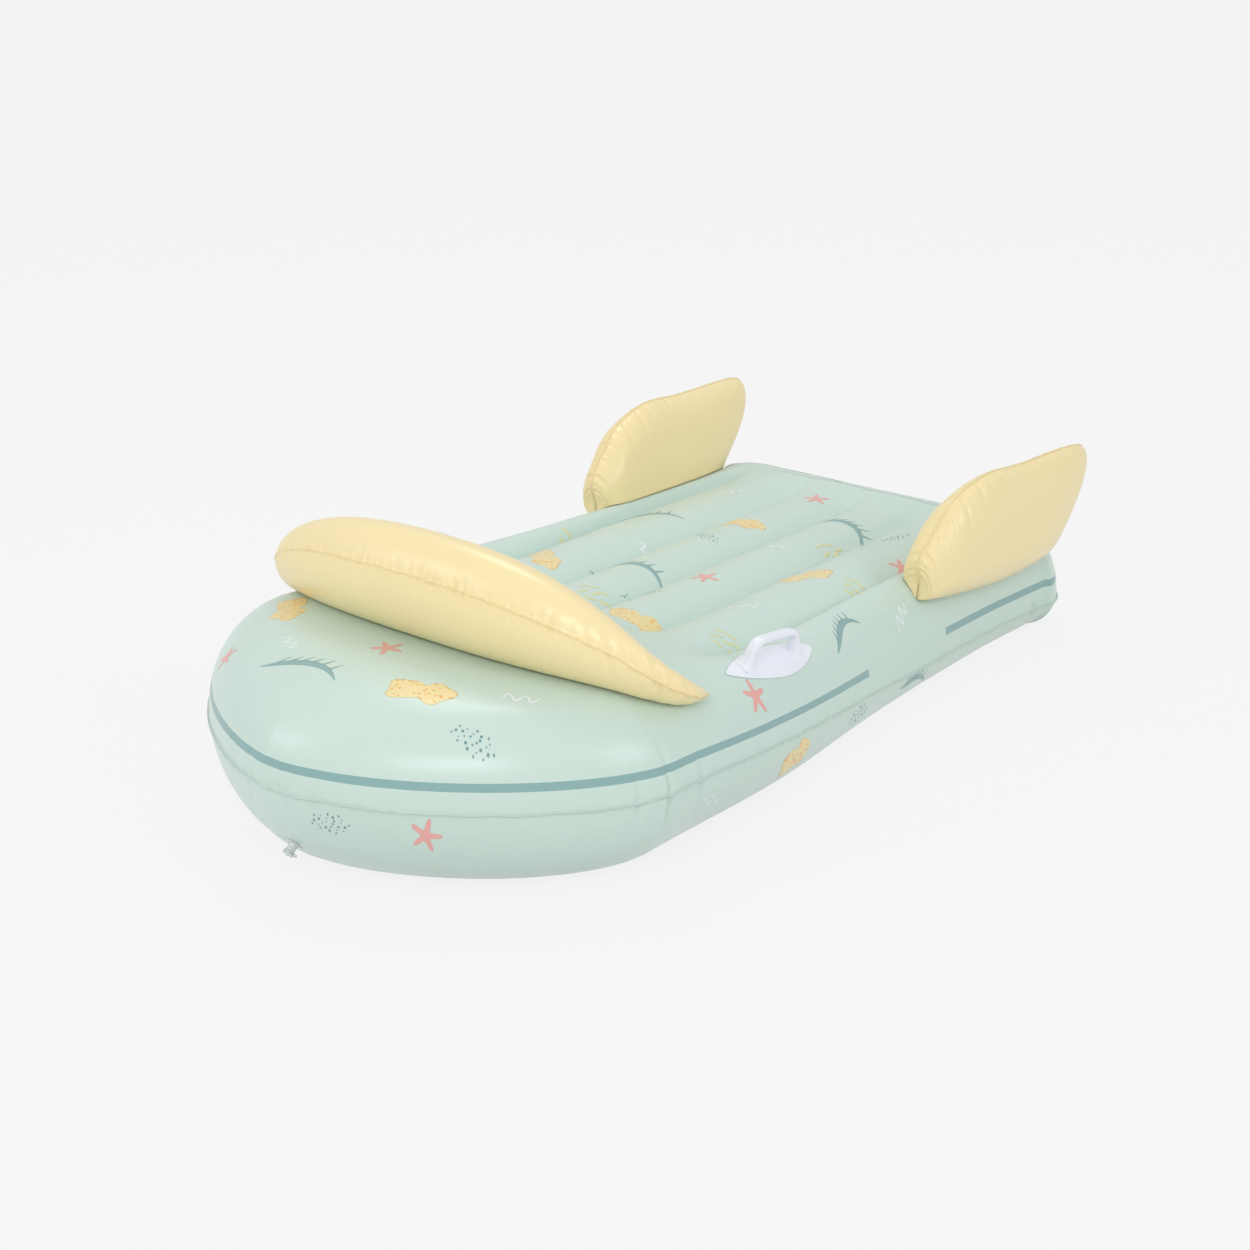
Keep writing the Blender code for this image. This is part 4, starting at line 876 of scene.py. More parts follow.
def fin_panel(name, side, part, along=300, upwards=46):
    """Rows climb from the foot to the welded edge; each column follows one point of that edge."""
    knots, at = np.linspace(0, 1, len(FIN_EDGE_SHARES)), np.linspace(0, 1, along)
    length, height, foot = (through(at, knots, column) for column in zip(*FIN_EDGE_SHARES))
    height = np.clip(height, 0, None)
    edge_y, edge_h = length * FIN_LENGTH, height * FIN_HEIGHT
    dy, dh = np.gradient(edge_y), np.gradient(edge_h)
    size = np.hypot(dy, dh)
    run = 2 * foot / foot[-1] - 1
    blunt = np.where(run < 0, np.clip(1 - run ** 8, 0, 1) ** 0.35, np.clip(1 - run ** 4, 0, 1) ** 0.5)
    foot_y = FIN_FRONT + foot * FIN_LENGTH
    base = float(top_height(FIN_SPACING / 2, FIN_FRONT)) + FIN_LIFT
    outward = 1 if part == "outer" else -1
    share = FIN_FOOT_SHARES[part]
    foot_middle = FIN_SPACING / 2 + FIN_TOE_SHARE * (foot_y - FIN_FRONT)
    foot_z = top_height(foot_middle + outward * FIN_THICKNESS / 2 * share * blunt, foot_y) + FIN_CLEARANCE
    lift = np.append(np.sin(np.linspace(0, math.pi / 2, upwards)) ** 1.1, 1.0)[:, None]
    lip = np.append(np.zeros(upwards), YELLOW_MARGIN)[:, None]
    y = foot_y + (FIN_FRONT + edge_y - foot_y) * lift - dh / size * lip
    z = foot_z * (1 - lift) + (base + edge_h) * lift + dy / size * lip
    waist = share + (1 - share) * np.sqrt(1 - np.clip(1 - lift / FIN_WAIST_SHARE, 0, 1) ** 2)
    half = FIN_THICKNESS / 2 * np.sqrt(np.clip(1 - lift ** 3, 0, 1)) * waist * blunt + INSIDE_SEAM
    splay = FIN_SPLAY + FIN_REAR_SPLAY * (y - FIN_FRONT)
    middle = FIN_SPACING / 2 + FIN_TOE_SHARE * (y - FIN_FRONT) + splay * height * lift
    points = np.stack([side * (middle + outward * half), y, z], -1).reshape(-1, 3)
    edge_run = np.concatenate([[0], np.cumsum(np.hypot(np.diff(edge_y), np.diff(edge_h)))]) + 0 * y
    rise = (1 - lift) * np.hypot(edge_y - foot * FIN_LENGTH, edge_h) + 0.35 * half
    quads = grid_quads(upwards + 1, along)
    quads = quads[:, ::-1] if (side > 0) == (part == "inner") else quads
    obj = film_mesh(name, points, quads, YELLOW, run=edge_run, rise=rise)
    relief = puckers(edge_run, rise, *FIN_CREASES) + 0.7 * unevenness(points).reshape(rise.shape)
    closed = smooth(blunt / FIN_SHUT)[None, :]
    swell(obj, relief * closed * smooth(lift / FIN_BASE_FADE) * np.where(lip > 0, 0, at_weld(rise)))
    points = coordinates(obj)
    points[:, 0] += (side * weld_wave(edge_run, rise, YELLOW_WAVE) * smooth(lift / 0.3)).ravel()
    set_coordinates(obj, points)
    return obj


for label, side in (("right", 1), ("left", -1)):
    for part in ("outer", "inner"):
        node = f"{label}_fin_{part}_panel"
        belongs(film_wall(fin_panel(f"{label}_fin_{part}_film", side, part)), "hull", "yellow_film", node)

# %% [markdown]
# ## Handles
# A handle is one white moulding: a thin leaf welded to the deck and a bowed grip. The two forms are joined by
# remeshing them together on a fine grid and smoothing the result, which rounds the corner between them the way
# a mould does.

# %% Handle forms
HANDLE_Y, HANDLE_X, HANDLE_TOE = 0.592, HULL_HALF_WIDTH * 0.851, math.radians(2)
PAD_LENGTH, PAD_WIDTH, PAD_EDGE, PAD_CROWN = 0.186, 0.044, 0.0014, 0.0016
GRIP_LENGTH, GRIP_CREST, GRIP_HEIGHT, GRIP_CORNER = 0.106, 0.084, 0.0395, 0.015
GRIP_LEAN_SHARE, GRIP_DEPTH, GRIP_THICKNESS, LEG_SPREAD = 0.2, 0.0155, 0.0094, 0.75
PAD_POWER, GRIP_POWER, FOOT_FLARE, HANDLE_LIFT, VOXEL = 0.8, 0.6, 0.006, 0.0006, 0.00075


def grip_path():
    """Middle line of the bow: straight legs, round corners and a level bar."""
    foot = np.array([-GRIP_LENGTH / 2, PAD_EDGE / 2])
    shoulder = np.array([-GRIP_CREST / 2, GRIP_HEIGHT - GRIP_THICKNESS / 2])
    leg = (foot - shoulder) / np.hypot(*(foot - shoulder))
    low, high = shoulder + leg * GRIP_CORNER, shoulder + np.array([GRIP_CORNER, 0])
    t = np.linspace(0, 1, 15)[:, None]
    bend = (1 - t) ** 2 * low + 2 * t * (1 - t) * shoulder + t * t * high
    half = np.concatenate([foot + (low - foot) * np.linspace(0, 1, 8)[:-1, None], bend])
    bar = np.linspace(high[0], -high[0], 14)[1:-1]
    return np.concatenate([half, np.stack([bar, 0 * bar + high[1]], -1), half[::-1] * np.array([-1, 1])]).T


def on_handle(side, x, y, z):
    """Turns the handle's own plan place by its toe and seats its height on the deck."""
    turn = side * HANDLE_TOE
    deck_x = side * HANDLE_X + x * math.cos(turn) + y * math.sin(turn)
    deck_y = HANDLE_Y - x * math.sin(turn) + y * math.cos(turn)
    return np.stack([deck_x, deck_y, z + HANDLE_LIFT + top_height(deck_x, deck_y)], -1)


def handle_pad(side):
    """Leaf between two curves, as a top and an underside grid joined by a wall round the rim."""
    s, t = np.meshgrid(np.linspace(-1, 1, 121), np.linspace(-1, 1, 41), indexing="ij")
    width = PAD_WIDTH / 2 * np.maximum(1 - s * s, 0) ** PAD_POWER + PAD_EDGE / 2
    crown = PAD_EDGE + PAD_CROWN * (1 - t * t) * (1 - s * s)
    x, y = t * width, s * PAD_LENGTH / 2
    top_side, under = (on_handle(side, x, y, z).reshape(-1, 3) for z in (crown, 0 * crown))
    index, quads = np.arange(s.size).reshape(s.shape), grid_quads(*s.shape)
    rim = np.concatenate([index[0], index[1:, -1], index[-1, -2::-1], index[-2:0:-1, 0]])
    wall = np.stack([rim, np.roll(rim, -1), np.roll(rim, -1) + s.size, rim + s.size], -1)
    return np.concatenate([top_side, under]), [*quads, *(quads[:, ::-1] + s.size), *wall]


def handle_grip(side, around=40):
    """Rounded oblong section along the bow; the legs flare towards the pad and follow the deck."""
    path_y, path_z = grip_path()
    dy, dz = np.gradient(path_y), np.gradient(path_z)
    size = np.hypot(dy, dz)
    rise = GRIP_HEIGHT - GRIP_THICKNESS / 2
    flare = 1 + 0.35 * smooth(1 - path_z / (rise / 2)) + 0.55 * np.clip(1 - path_z / FOOT_FLARE, 0, 1) ** 2
    ring = np.linspace(0, 2 * math.pi, around, endpoint=False)
    round_x, round_n = (np.sign(v) * np.abs(v) ** GRIP_POWER for v in (np.cos(ring), np.sin(ring)))
    x = GRIP_DEPTH / 2 * round_x[None] * flare[:, None] + GRIP_LEAN_SHARE * path_z[:, None]
    leg = flare + LEG_SPREAD * (1 - path_z / rise)
    off = GRIP_THICKNESS / 2 * round_n[None] * leg[:, None]
    y = path_y[:, None] - (dz / size)[:, None] * off
    z = np.maximum(path_z[:, None] + (dy / size)[:, None] * off, PAD_EDGE / 2)
    grip = on_handle(side, x, y, z)
    level = on_handle(side, 0 * x, y, z)[..., 2]
    grip[..., 2] += (level - grip[..., 2]) * smooth(z / (rise / 2))
    rows, first = len(path_y), np.arange(around)
    return grip.reshape(-1, 3), [*grid_quads(rows, around, 0, True), first[::-1], (rows - 1) * around + first]


def handle_moulding(label, side):
    """Pad and grip fused on a fine grid and smoothed."""
    points, faces = several([handle_pad(side), handle_grip(side)])
    obj = outwards(film_mesh(f"{label}_handle_moulding", points, faces, MOULDED))
    mesh = obj.modifiers.new("Fuse", "REMESH")
    mesh.mode, mesh.voxel_size, mesh.use_smooth_shade = "VOXEL", VOXEL, True
    soft = obj.modifiers.new("Round", "SMOOTH")
    soft.factor, soft.iterations = 0.5, 4
    return bake(obj)


# %% [markdown]
# The white moulding is glossier than the film, with the faint mottling of moulded vinyl. The valves are clear
# vinyl: partly see-through, faintly green, and slightly frosted.

# %% Moulded materials
def moulded_group():
    """Slight mottling of colour and roughness, and a height in metres for the mould's soft texture."""
    group, given, result = new_group("moulded vinyl", {**COLOURS, "Base roughness": "Float"}, LOOK)
    maths, place = maths_in(group), given["Place"]
    clouds, fine = noise_in(group, place, 60.0), noise_in(group, place, 900.0)
    rough = maths("ADD", maths("MULTIPLY_ADD", clouds, 0.12, -0.06), given["Base roughness"])
    for label, value in (("Colour", mixed_colour(group, clouds, given["Colour"], given["Deep colour"])),
                         ("Roughness", rough), ("Height", maths("MULTIPLY", fine, 0.00002))):
        group.links.new(value, result[label])
    return group


MOULDED_GROUP = moulded_group()


def moulded_material(name, colour, deep, roughness, clear=0.0):
    """Moulded vinyl; clear is the share of light that passes through."""
    finish = {"Transmission Weight": clear, "Coat Weight": 0.2, "Coat Roughness": 0.2}
    return vinyl_material(name, MOULDED_GROUP, colour, deep, {"Base roughness": roughness}, finish)[0]


MOULDED = moulded_material("white moulding", (0.830, 0.855, 0.925), (0.780, 0.810, 0.890), 0.34)
CLEAR = moulded_material("clear moulding", (0.90, 0.94, 0.92), (0.82, 0.89, 0.86), 0.18, clear=0.35)
for label, side in (("right", 1), ("left", -1)):
    belongs(handle_moulding(label, side), "hull", "white_moulding", f"{label}_handle")

# %% [markdown]
# ## Valves
# Each valve is turned about its own axis: a flange welded on the film, a stem that slides into the chamber, a
# plug and a check flap. Profiles are given as radius and height over the seat, and small bevels round every edge.
# The strap that keeps the plug is a ring round the stem, joined to a bowed band that reaches the cap's edge.

# %% Measures of a valve
STEM_BORE, STEM_WALL, STEM_CLEARANCE, STOW_TRAVEL = 0.008, 0.002, 0.0003, 0.010
BORE, TUBE = STEM_BORE / 2, STEM_BORE / 2 + STEM_WALL
HOLE, LIP, CAP, PLUG = TUBE + STEM_CLEARANCE, 0.0075, 0.0073, BORE - STEM_CLEARANCE
FLANGE, FLANGE_TOP, STRAP = 0.012, GAP + 0.0008, 0.0009
RING_LOW = FLANGE_TOP + STOW_TRAVEL + GAP
LIP_LOW = RING_LOW + STRAP + GAP
MOUTH = LIP_LOW + 0.0016
CAP_LOW = MOUTH + GAP
CAP_TOP, PLUG_END, PLUG_EDGE = CAP_LOW + 0.0018, CAP_LOW - 0.0075, CAP_LOW - 0.0055
STOP, STOP_THICKNESS = -FILM - GAP, 0.001
INNER_END = STOP - 0.005
FLAP, FLAP_TOP, FLAP_THICKNESS = 0.0048, INNER_END - GAP, 0.0005
PROFILES = {
    "flange": [(HOLE, GAP), (FLANGE, GAP), (FLANGE, GAP + 0.0004), (HOLE + STEM_WALL, FLANGE_TOP),
               (HOLE, FLANGE_TOP)],
    "stem": [(BORE, INNER_END), (TUBE, INNER_END), (TUBE, STOP - STOP_THICKNESS), (LIP, STOP - STOP_THICKNESS),
             (LIP, STOP), (TUBE, STOP), (TUBE, LIP_LOW), (LIP, LIP_LOW), (LIP, MOUTH), (BORE, MOUTH)],
    "plug": [(0, PLUG_END), (PLUG * 0.86, PLUG_END), (PLUG, PLUG_EDGE), (PLUG, CAP_LOW), (CAP, CAP_LOW),
             (CAP, CAP_LOW + 0.00126), (CAP * 0.9, CAP_TOP), (0, CAP_TOP)],
    "flap": [(0, FLAP_TOP - FLAP_THICKNESS), (FLAP, FLAP_TOP - FLAP_THICKNESS), (FLAP, FLAP_TOP), (0, FLAP_TOP)]}
print("stem", 2 * TUBE, "m across, plug", round(MOUTH - PLUG_END, 4), "m deep in it")

# %% [markdown]
# A profile is turned into a closed mesh and its edges are rounded. Exact booleans cut the holes in the film and
# join the strap to its ring.

# %% Turned pieces, holes and straps
def valve_axes(outward):
    """Rows: two directions across the valve, and the outward one."""
    x_axis = np.array([1.0, 0, 0]) - outward * outward[0]
    x_axis /= np.linalg.norm(x_axis)
    return np.stack([x_axis, np.cross(outward, x_axis), outward])


MOULD_EDGE, FINE_EDGE = 0.00018, 0.0001
STRAP_BOW, STRAP_HALF, STRAP_UNDER, STRAP_OVER = 0.006, 0.0016, -0.00044, 0.00045


def turned(name, profile, centre, axes, steps=64):
    """Ring of points per profile point; a profile that starts on the axis is closed by two poles."""
    solid = profile[0][0] == 0
    ring = np.array(profile[1:-1] if solid else profile + profile[:1])
    angle = np.arange(steps) * 2 * math.pi / steps
    across, up = ring[:, :1], ring[:, 1:]
    points = np.stack([across * np.cos(angle), across * np.sin(angle), up + 0 * angle], -1).reshape(-1, 3)
    faces = list(grid_quads(len(ring), steps, 0, True))
    if solid:
        points = np.concatenate([points, [(0, 0, profile[0][1]), (0, 0, profile[-1][1])]])
        k, last = np.arange(steps), (len(ring) - 1) * steps
        faces += list(np.stack([np.roll(k, -1), k, 0 * k + len(points) - 2], -1))
        faces += list(np.stack([last + k, last + np.roll(k, -1), 0 * k + len(points) - 1], -1))
    return outwards(film_mesh(name, points @ axes + centre - ORIGIN, faces, CLEAR), merge=1e-6)


def rounded(obj, width):
    """Small bevel on every sharp edge."""
    edge = obj.modifiers.new("Edges", "BEVEL")
    edge.width, edge.segments, edge.limit_method, edge.angle_limit = width, 2, "ANGLE", math.radians(35)
    return bake(obj)


def combined(obj, other, operation):
    """Cuts or joins a second form, which is then removed."""
    step = obj.modifiers.new("Combine", "BOOLEAN")
    step.object, step.operation, step.solver = other, operation, "EXACT"
    bake(obj)
    bpy.data.objects.remove(other)
    return obj


def hole(film, centre, axes, radius, reach=0.012):
    """Cuts a round hole through the film."""
    profile = [(0, -reach), (radius, -reach), (radius, reach), (0, reach)]
    return combined(film, turned("hole form", profile, centre, axes), "DIFFERENCE")


def strap(name, centre, axes):
    """Strap ring round the stem, and a bowed strap of small rectangular section to the cap's edge."""
    profile = [(HOLE, RING_LOW), (LIP, RING_LOW), (LIP, RING_LOW + STRAP), (HOLE, RING_LOW + STRAP)]
    ring = turned(name, profile, centre, axes)
    start, end = RING_LOW + STRAP / 2, CAP_LOW + STRAP
    turn = np.linspace(-math.pi / 2, math.pi / 2, 41)
    x = np.concatenate([[(HOLE + LIP) / 2], LIP + STRAP_BOW * np.cos(turn), [CAP + GAP]])
    z = np.concatenate([[start], (start + end) / 2 + (end - start) / 2 * np.sin(turn), [end]])
    dx, dz = np.gradient(x), np.gradient(z)
    size = np.hypot(dx, dz)
    corners = ((-STRAP_HALF, STRAP_UNDER), (STRAP_HALF, STRAP_UNDER), (STRAP_HALF, STRAP_OVER),
               (-STRAP_HALF, STRAP_OVER))
    sections = [np.stack([x - dz / size * n, 0 * x + w, z + dx / size * n], -1) for w, n in corners]
    points = np.stack(sections, 1).reshape(-1, 3) @ axes + centre - ORIGIN
    faces = [*grid_quads(len(x), 4, 0, True), np.arange(4), len(points) - 4 + np.arange(4)[::-1]]
    return rounded(combined(ring, outwards(film_mesh(name + "_form", points, faces, CLEAR)), "UNION"), FINE_EDGE)


# %% [markdown]
# Both valves are alike. Each flange rides with the hull, and the stem, plug and flap ride on bodies of their own.

# %% Build both valves and cut their holes
for label, film in (("nose", base), ("headrest", upper)):
    centre, outward = joint_place(f"{label}_plug_pull")
    axes = valve_axes(outward)
    hole(film, centre, axes, HOLE)
    for part in PROFILES:
        piece = turned(f"{label}_valve_{part}_moulding", PROFILES[part], centre, axes)
        rounded(piece, FINE_EDGE if part == "flap" else MOULD_EDGE)
        body = "hull" if part == "flange" else f"{label}_{part}"
        belongs(piece, body, "clear_moulding", f"{label}_valve_{part}")
    tie = strap(f"{label}_valve_tether_strap", centre, axes)
    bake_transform(tie)
    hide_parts(f"{label}_valve_tether")

# %% [markdown]
# ## Printed motifs
# Simple shapes are printed over the film: speckled leaves, long curved fronds, small stars, squiggles, strokes
# and clusters of dots. Each is a thin mesh laid out flat in metres and carried to the hull by the same formulas as
# the skins. It then settles onto the finished film, so that it follows every crease.

# %% Flat shapes
def disc(radius_at, rings=14, spokes=72):
    """Closed polar grid whose rim follows radius_at(angle)."""
    angle = np.arange(spokes) * 2 * math.pi / spokes
    reach = np.linspace(0, 1, rings + 1)[1:, None] * radius_at(angle)
    points = np.stack([reach * np.cos(angle), reach * np.sin(angle)], -1).reshape(-1, 2)
    quads, first = grid_quads(rings, spokes, 1, True)[:, ::-1], 1 + np.arange(spokes)
    hub = np.stack([0 * first, first, np.roll(first, -1)], -1)
    return np.concatenate([[(0, 0)], points]), [*quads, *hub]


def band(x, y, width, across=7):
    """Ribbon along a flat line, as wide as given at each of its points."""
    dx, dy = np.gradient(x), np.gradient(y)
    size = np.hypot(dx, dy)
    side = np.linspace(-0.5, 0.5, across)
    px = x[:, None] - (dy / size * width)[:, None] * side
    py = y[:, None] + (dx / size * width)[:, None] * side
    return np.stack([px, py], -1).reshape(-1, 2), list(grid_quads(len(x), across)[:, ::-1])


# %% [markdown]
# Every motif is made of discs with a shaped rim, or of ribbons along a line. One size scales all of it.

# %% Six motifs
def leaf(size):
    """Pointed leaf with a wavy rim."""
    def rim(a):
        return size * (0.16 + 0.34 * np.abs(np.cos(a)) ** 1.6) * (1 + 0.09 * np.sin(7 * a + 1))

    return disc(rim, 18, 96)


def frond(size):
    """Long bent stem that tapers to both ends, with small teeth along one side."""
    def bent(t):
        return size / 2 * t, size * (0.16 * (1 - t * t) - 0.10 * t ** 3)

    t, u = np.linspace(-1, 1, 64), np.linspace(0, 1, 9)
    shapes = [band(*bent(t), size * 0.085 * (1 - np.abs(t) ** 2.2) + 0.0012)]
    for x, y in zip(*bent(np.linspace(-0.62, 0.66, 6))):
        tooth_x, tooth_y = x + 0.09 * size * u, y + size * (0.02 + 0.12 * u)
        shapes.append(band(tooth_x, tooth_y, size * 0.035 * (1 - u) + 0.0007, 5))
    return several(shapes)


def star(size):
    """Five rounded arms."""
    return disc(lambda a: size / 2 * (0.36 + 0.64 * (0.5 + 0.5 * np.cos(5 * a)) ** 2.2), 12, 100)


def squiggle(size):
    """Ribbon along a few waves, thinner at its ends."""
    t = np.linspace(-1, 1, 60)
    return band(size / 2 * t, size * 0.13 * np.sin(7.5 * t), size * 0.085 * (1 - 0.5 * t ** 8), 5)


def strokes(size):
    """A loose group of short strokes."""
    middles = ((-0.34, 0.20), (-0.05, 0.30), (0.27, 0.18), (-0.24, -0.10), (0.08, -0.02), (0.36, -0.16),
               (-0.02, -0.32))
    t, shapes = np.linspace(-1, 1, 16), []
    for k, (u, v) in enumerate(middles):
        lean = 0.5 + 0.35 * math.sin(5 * k)
        x, y = size * (u + 0.17 * t * math.cos(lean)), size * (v + 0.17 * t * math.sin(lean) + 0.03 * t * t)
        shapes.append(band(x, y, size * 0.075 * (1 - t ** 4) + 0.0008, 5))
    return several(shapes)


def dots(size):
    """A flat patch of small dots on a sunflower spiral."""
    count, shapes = 26, []
    for k in range(count):
        turn, reach = 2.4 * k, 0.5 * math.sqrt((k + 0.5) / count)
        points, faces = disc(lambda a: size * (0.022 + 0.008 * math.sin(3 * k)) + 0 * a, 2, 14)
        shapes.append((points + size * reach * np.array([math.cos(turn), 0.42 * math.sin(turn)]), faces))
    return several(shapes)


# %% [markdown]
# A place on the deck is given by its plan point. A place on the wall is given by the side, the run of the outline
# and the height angle, above the seam or below it. The layout is loose, with a hand's width between shapes.

# %% Carry shapes to the hull
PRINT_LIFT, INK_OFFSET, INK, ARC_SHARE = 0.003, 0.00022, 0.00012, 0.88


def rotated(flat, degrees):
    """Flat points turned about the middle of their shape, as two arrays."""
    turn = math.radians(degrees)
    return (flat[:, 0] * math.cos(turn) - flat[:, 1] * math.sin(turn),
            flat[:, 0] * math.sin(turn) + flat[:, 1] * math.cos(turn))


def on_deck(flat, x, y, degrees):
    """Straight down onto the top skin."""
    along, across = rotated(flat, degrees)
    px, py = x + along, y + across
    return np.stack([px, py, top_height(px, py) + PRINT_LIFT], -1)


def on_wall(flat, side, kind, value, angle, degrees):
    """Round the outline by the shape's length, and round the rim's section by its height."""
    along, up = rotated(flat, degrees)
    step = 0.001
    near_x, near_y, _ = outline(np.array([kind] * 2), np.array([value, value + step]), 0)
    speed = math.hypot(near_x[1] - near_x[0], near_y[1] - near_y[0]) / step
    values = value + side * along / speed
    kinds = np.full(len(values), kind)
    _, _, at = outline(kinds, values, 0)
    angles = angle + up / (ARC_SHARE * rim_width(at))
    deep = rim_width(at) * (1 - np.cos(angles))
    px, py, _ = outline(kinds, values, deep)
    seam = seam_height(at)
    high = domed(seam + (crest_height(at) - seam) * np.sin(angles), dome_height(deep, at, py), py)
    return np.stack([side * px, py, np.where(angles > 0, high, seam * (1 + np.sin(angles)))], -1)


def printed(name, material, target, shapes):
    """One mesh of all shapes of a colour, settled a fifth of a millimetre over the film."""
    points, faces = several(shapes)
    obj = film_mesh(name, points, faces, material)
    settle = obj.modifiers.new("Settle", "SHRINKWRAP")
    settle.target, settle.offset = target, INK_OFFSET
    settle.wrap_method, settle.wrap_mode = "NEAREST_SURFACEPOINT", "ABOVE_SURFACE"
    ink = obj.modifiers.new("Ink", "SOLIDIFY")
    ink.thickness, ink.offset = INK, -1.0
    return belongs(bake(obj), "hull", "film")


# %% [markdown]
# The prints are film materials with other colours. The leaves also have spots over their colour.

# %% Print colours
def speckled(material, spot, scale):
    """Puts spots between the film's colour and the shader of a print."""
    nodes, links = material.node_tree.nodes, material.node_tree.links
    spots = nodes.new("ShaderNodeGroup")
    spots.node_tree = speckle_group()
    spots.inputs["Spot"].default_value = (*spot, 1)
    spots.inputs["Scale"].default_value = scale
    into = nodes["Principled BSDF"].inputs["Base Color"]
    links.new(into.links[0].from_socket, spots.inputs["Colour"])
    links.new(nodes["Texture Coordinate"].outputs["Object"], spots.inputs["Place"])
    links.new(spots.outputs["Colour"], into)


ORANGE = film_material("orange print", (0.810, 0.680, 0.350), (0.780, 0.620, 0.280))
speckled(ORANGE, (0.780, 0.400, 0.090), 150.0)
CORAL = film_material("coral print", (0.790, 0.400, 0.365), (0.740, 0.330, 0.300))
WHITE = film_material("white print", (0.760, 0.840, 0.830), (0.700, 0.800, 0.790))
CREAM = film_material("pale print", (0.700, 0.710, 0.400), (0.650, 0.670, 0.370))
DARK = film_material("dark print", (0.180, 0.330, 0.350), (0.150, 0.290, 0.310))

# %% [markdown]
# The lists start with the large motifs, and the small ones lie in the gaps between them.

# %% The layout
# Deck: name, colour, shape and size, then plan point and turn of each
DECK_PRINTS = (
    ("leaves", ORANGE, leaf, 0.088, (
        (0.090, 0.600, 25), (-0.185, 0.715, -35), (0.160, 0.905, 60), (-0.070, 1.060, 5), (0.190, 1.270, -40),
        (0.110, 0.150, 20), (-0.225, 0.245, -50))),
    ("fronds", STRIPE, frond, 0.125, (
        (-0.060, 0.760, 20), (-0.195, 0.975, 55), (0.060, 1.150, -10), (-0.060, 0.105, 15), (0.235, 0.330, 60),
        (-0.130, 1.360, 5))),
    ("stars", CORAL, star, 0.046, (
        (0.055, 0.800, 10), (-0.150, 0.585, 30), (0.235, 1.060, 0), (-0.050, 1.250, 50), (-0.010, 0.215, 5))),
    ("squiggles", WHITE, squiggle, 0.048, (
        (0.170, 0.735, 40), (-0.115, 0.880, -20), (0.050, 0.990, 10), (-0.180, 1.190, 70), (0.080, 1.370, 0),
        (0.215, 0.215, 30), (-0.130, 0.160, -25))),
    ("strokes", CREAM, strokes, 0.055, (
        (0.225, 0.620, 0), (-0.030, 0.645, 30), (-0.235, 0.845, 10), (0.110, 1.060, 60), (0.235, 0.930, 0),
        (-0.225, 1.385, 0), (0.020, 0.310, 40))),
    ("dots", DARK, dots, 0.060, (
        (0.015, 0.700, 20), (0.160, 1.160, 70), (-0.060, 0.960, -20), (-0.255, 0.610, 40), (0.215, 0.130, 10))))
# Wall: colour, shape and size, then side, part of the outline, its value, height angle and turn of each
WALL_PRINTS = (
    (CORAL, star, 0.040, (
        (1, SIDE, 0.520, 0.75, 10), (1, NOSE, 0.62, -0.24, 0), (-1, SIDE, 0.70, 0.75, 0),
        (-1, NOSE, 0.8, 0.75, 0))),
    (ORANGE, leaf, 0.064, (
        (1, SIDE, 0.60, -0.42, 12), (-1, SIDE, 0.45, 0.80, 30), (-1, SIDE, 1.05, -0.42, -20))),
    (STRIPE, frond, 0.085, (
        (1, SIDE, 0.780, 0.90, 20), (1, SIDE, 0.95, -0.45, 0), (-1, SIDE, 0.90, 0.85, -15),
        (-1, SIDE, 0.86, -0.45, 0))),
    (WHITE, squiggle, 0.042, (
        (1, SIDE, 0.400, -0.36, 0), (1, SIDE, 0.93, 0.80, 20), (-1, NOSE, 0.7, -0.34, 0))),
    (DARK, dots, 0.055, (
        (1, NOSE, 0.30, -0.22, 0), (1, SIDE, 0.78, -0.30, 0), (-1, SIDE, 0.58, -0.34, 0),
        (-1, SIDE, 1.2, 0.75, 0))))

# %% [markdown]
# Shapes of one colour on the top film make one mesh. Those below the seam settle onto the underside, each as a
# mesh of its own.

# %% Print them
wall_shapes = []
for material, shape, size, places in WALL_PRINTS:
    flat, faces = shape(size)
    wall_shapes += [(material, place[3] > 0, (on_wall(flat, *place), faces)) for place in places]
for name, material, shape, size, places in DECK_PRINTS:
    flat, faces = shape(size)
    shapes = [(on_deck(flat, *place), faces) for place in places]
    shapes += [placed for colour, above, placed in wall_shapes if above and colour == material]
    printed("printed_" + name, material, top, shapes)
low_shapes = [(colour, placed) for colour, above, placed in wall_shapes if not above]
for k, (colour, placed) in enumerate(low_shapes):
    printed(f"printed_low_{k}", colour, base, [placed])

# %% [markdown]
# ## Studio
# The float stands on a pale floor. The floor and the world show as one plain pale tone to the camera, and the
# floor still takes the soft shadow of the float. Four broad lights shape the film's highlights: one overhead, one
# beside the camera, one at the front left, and a large one that fills in the right side.

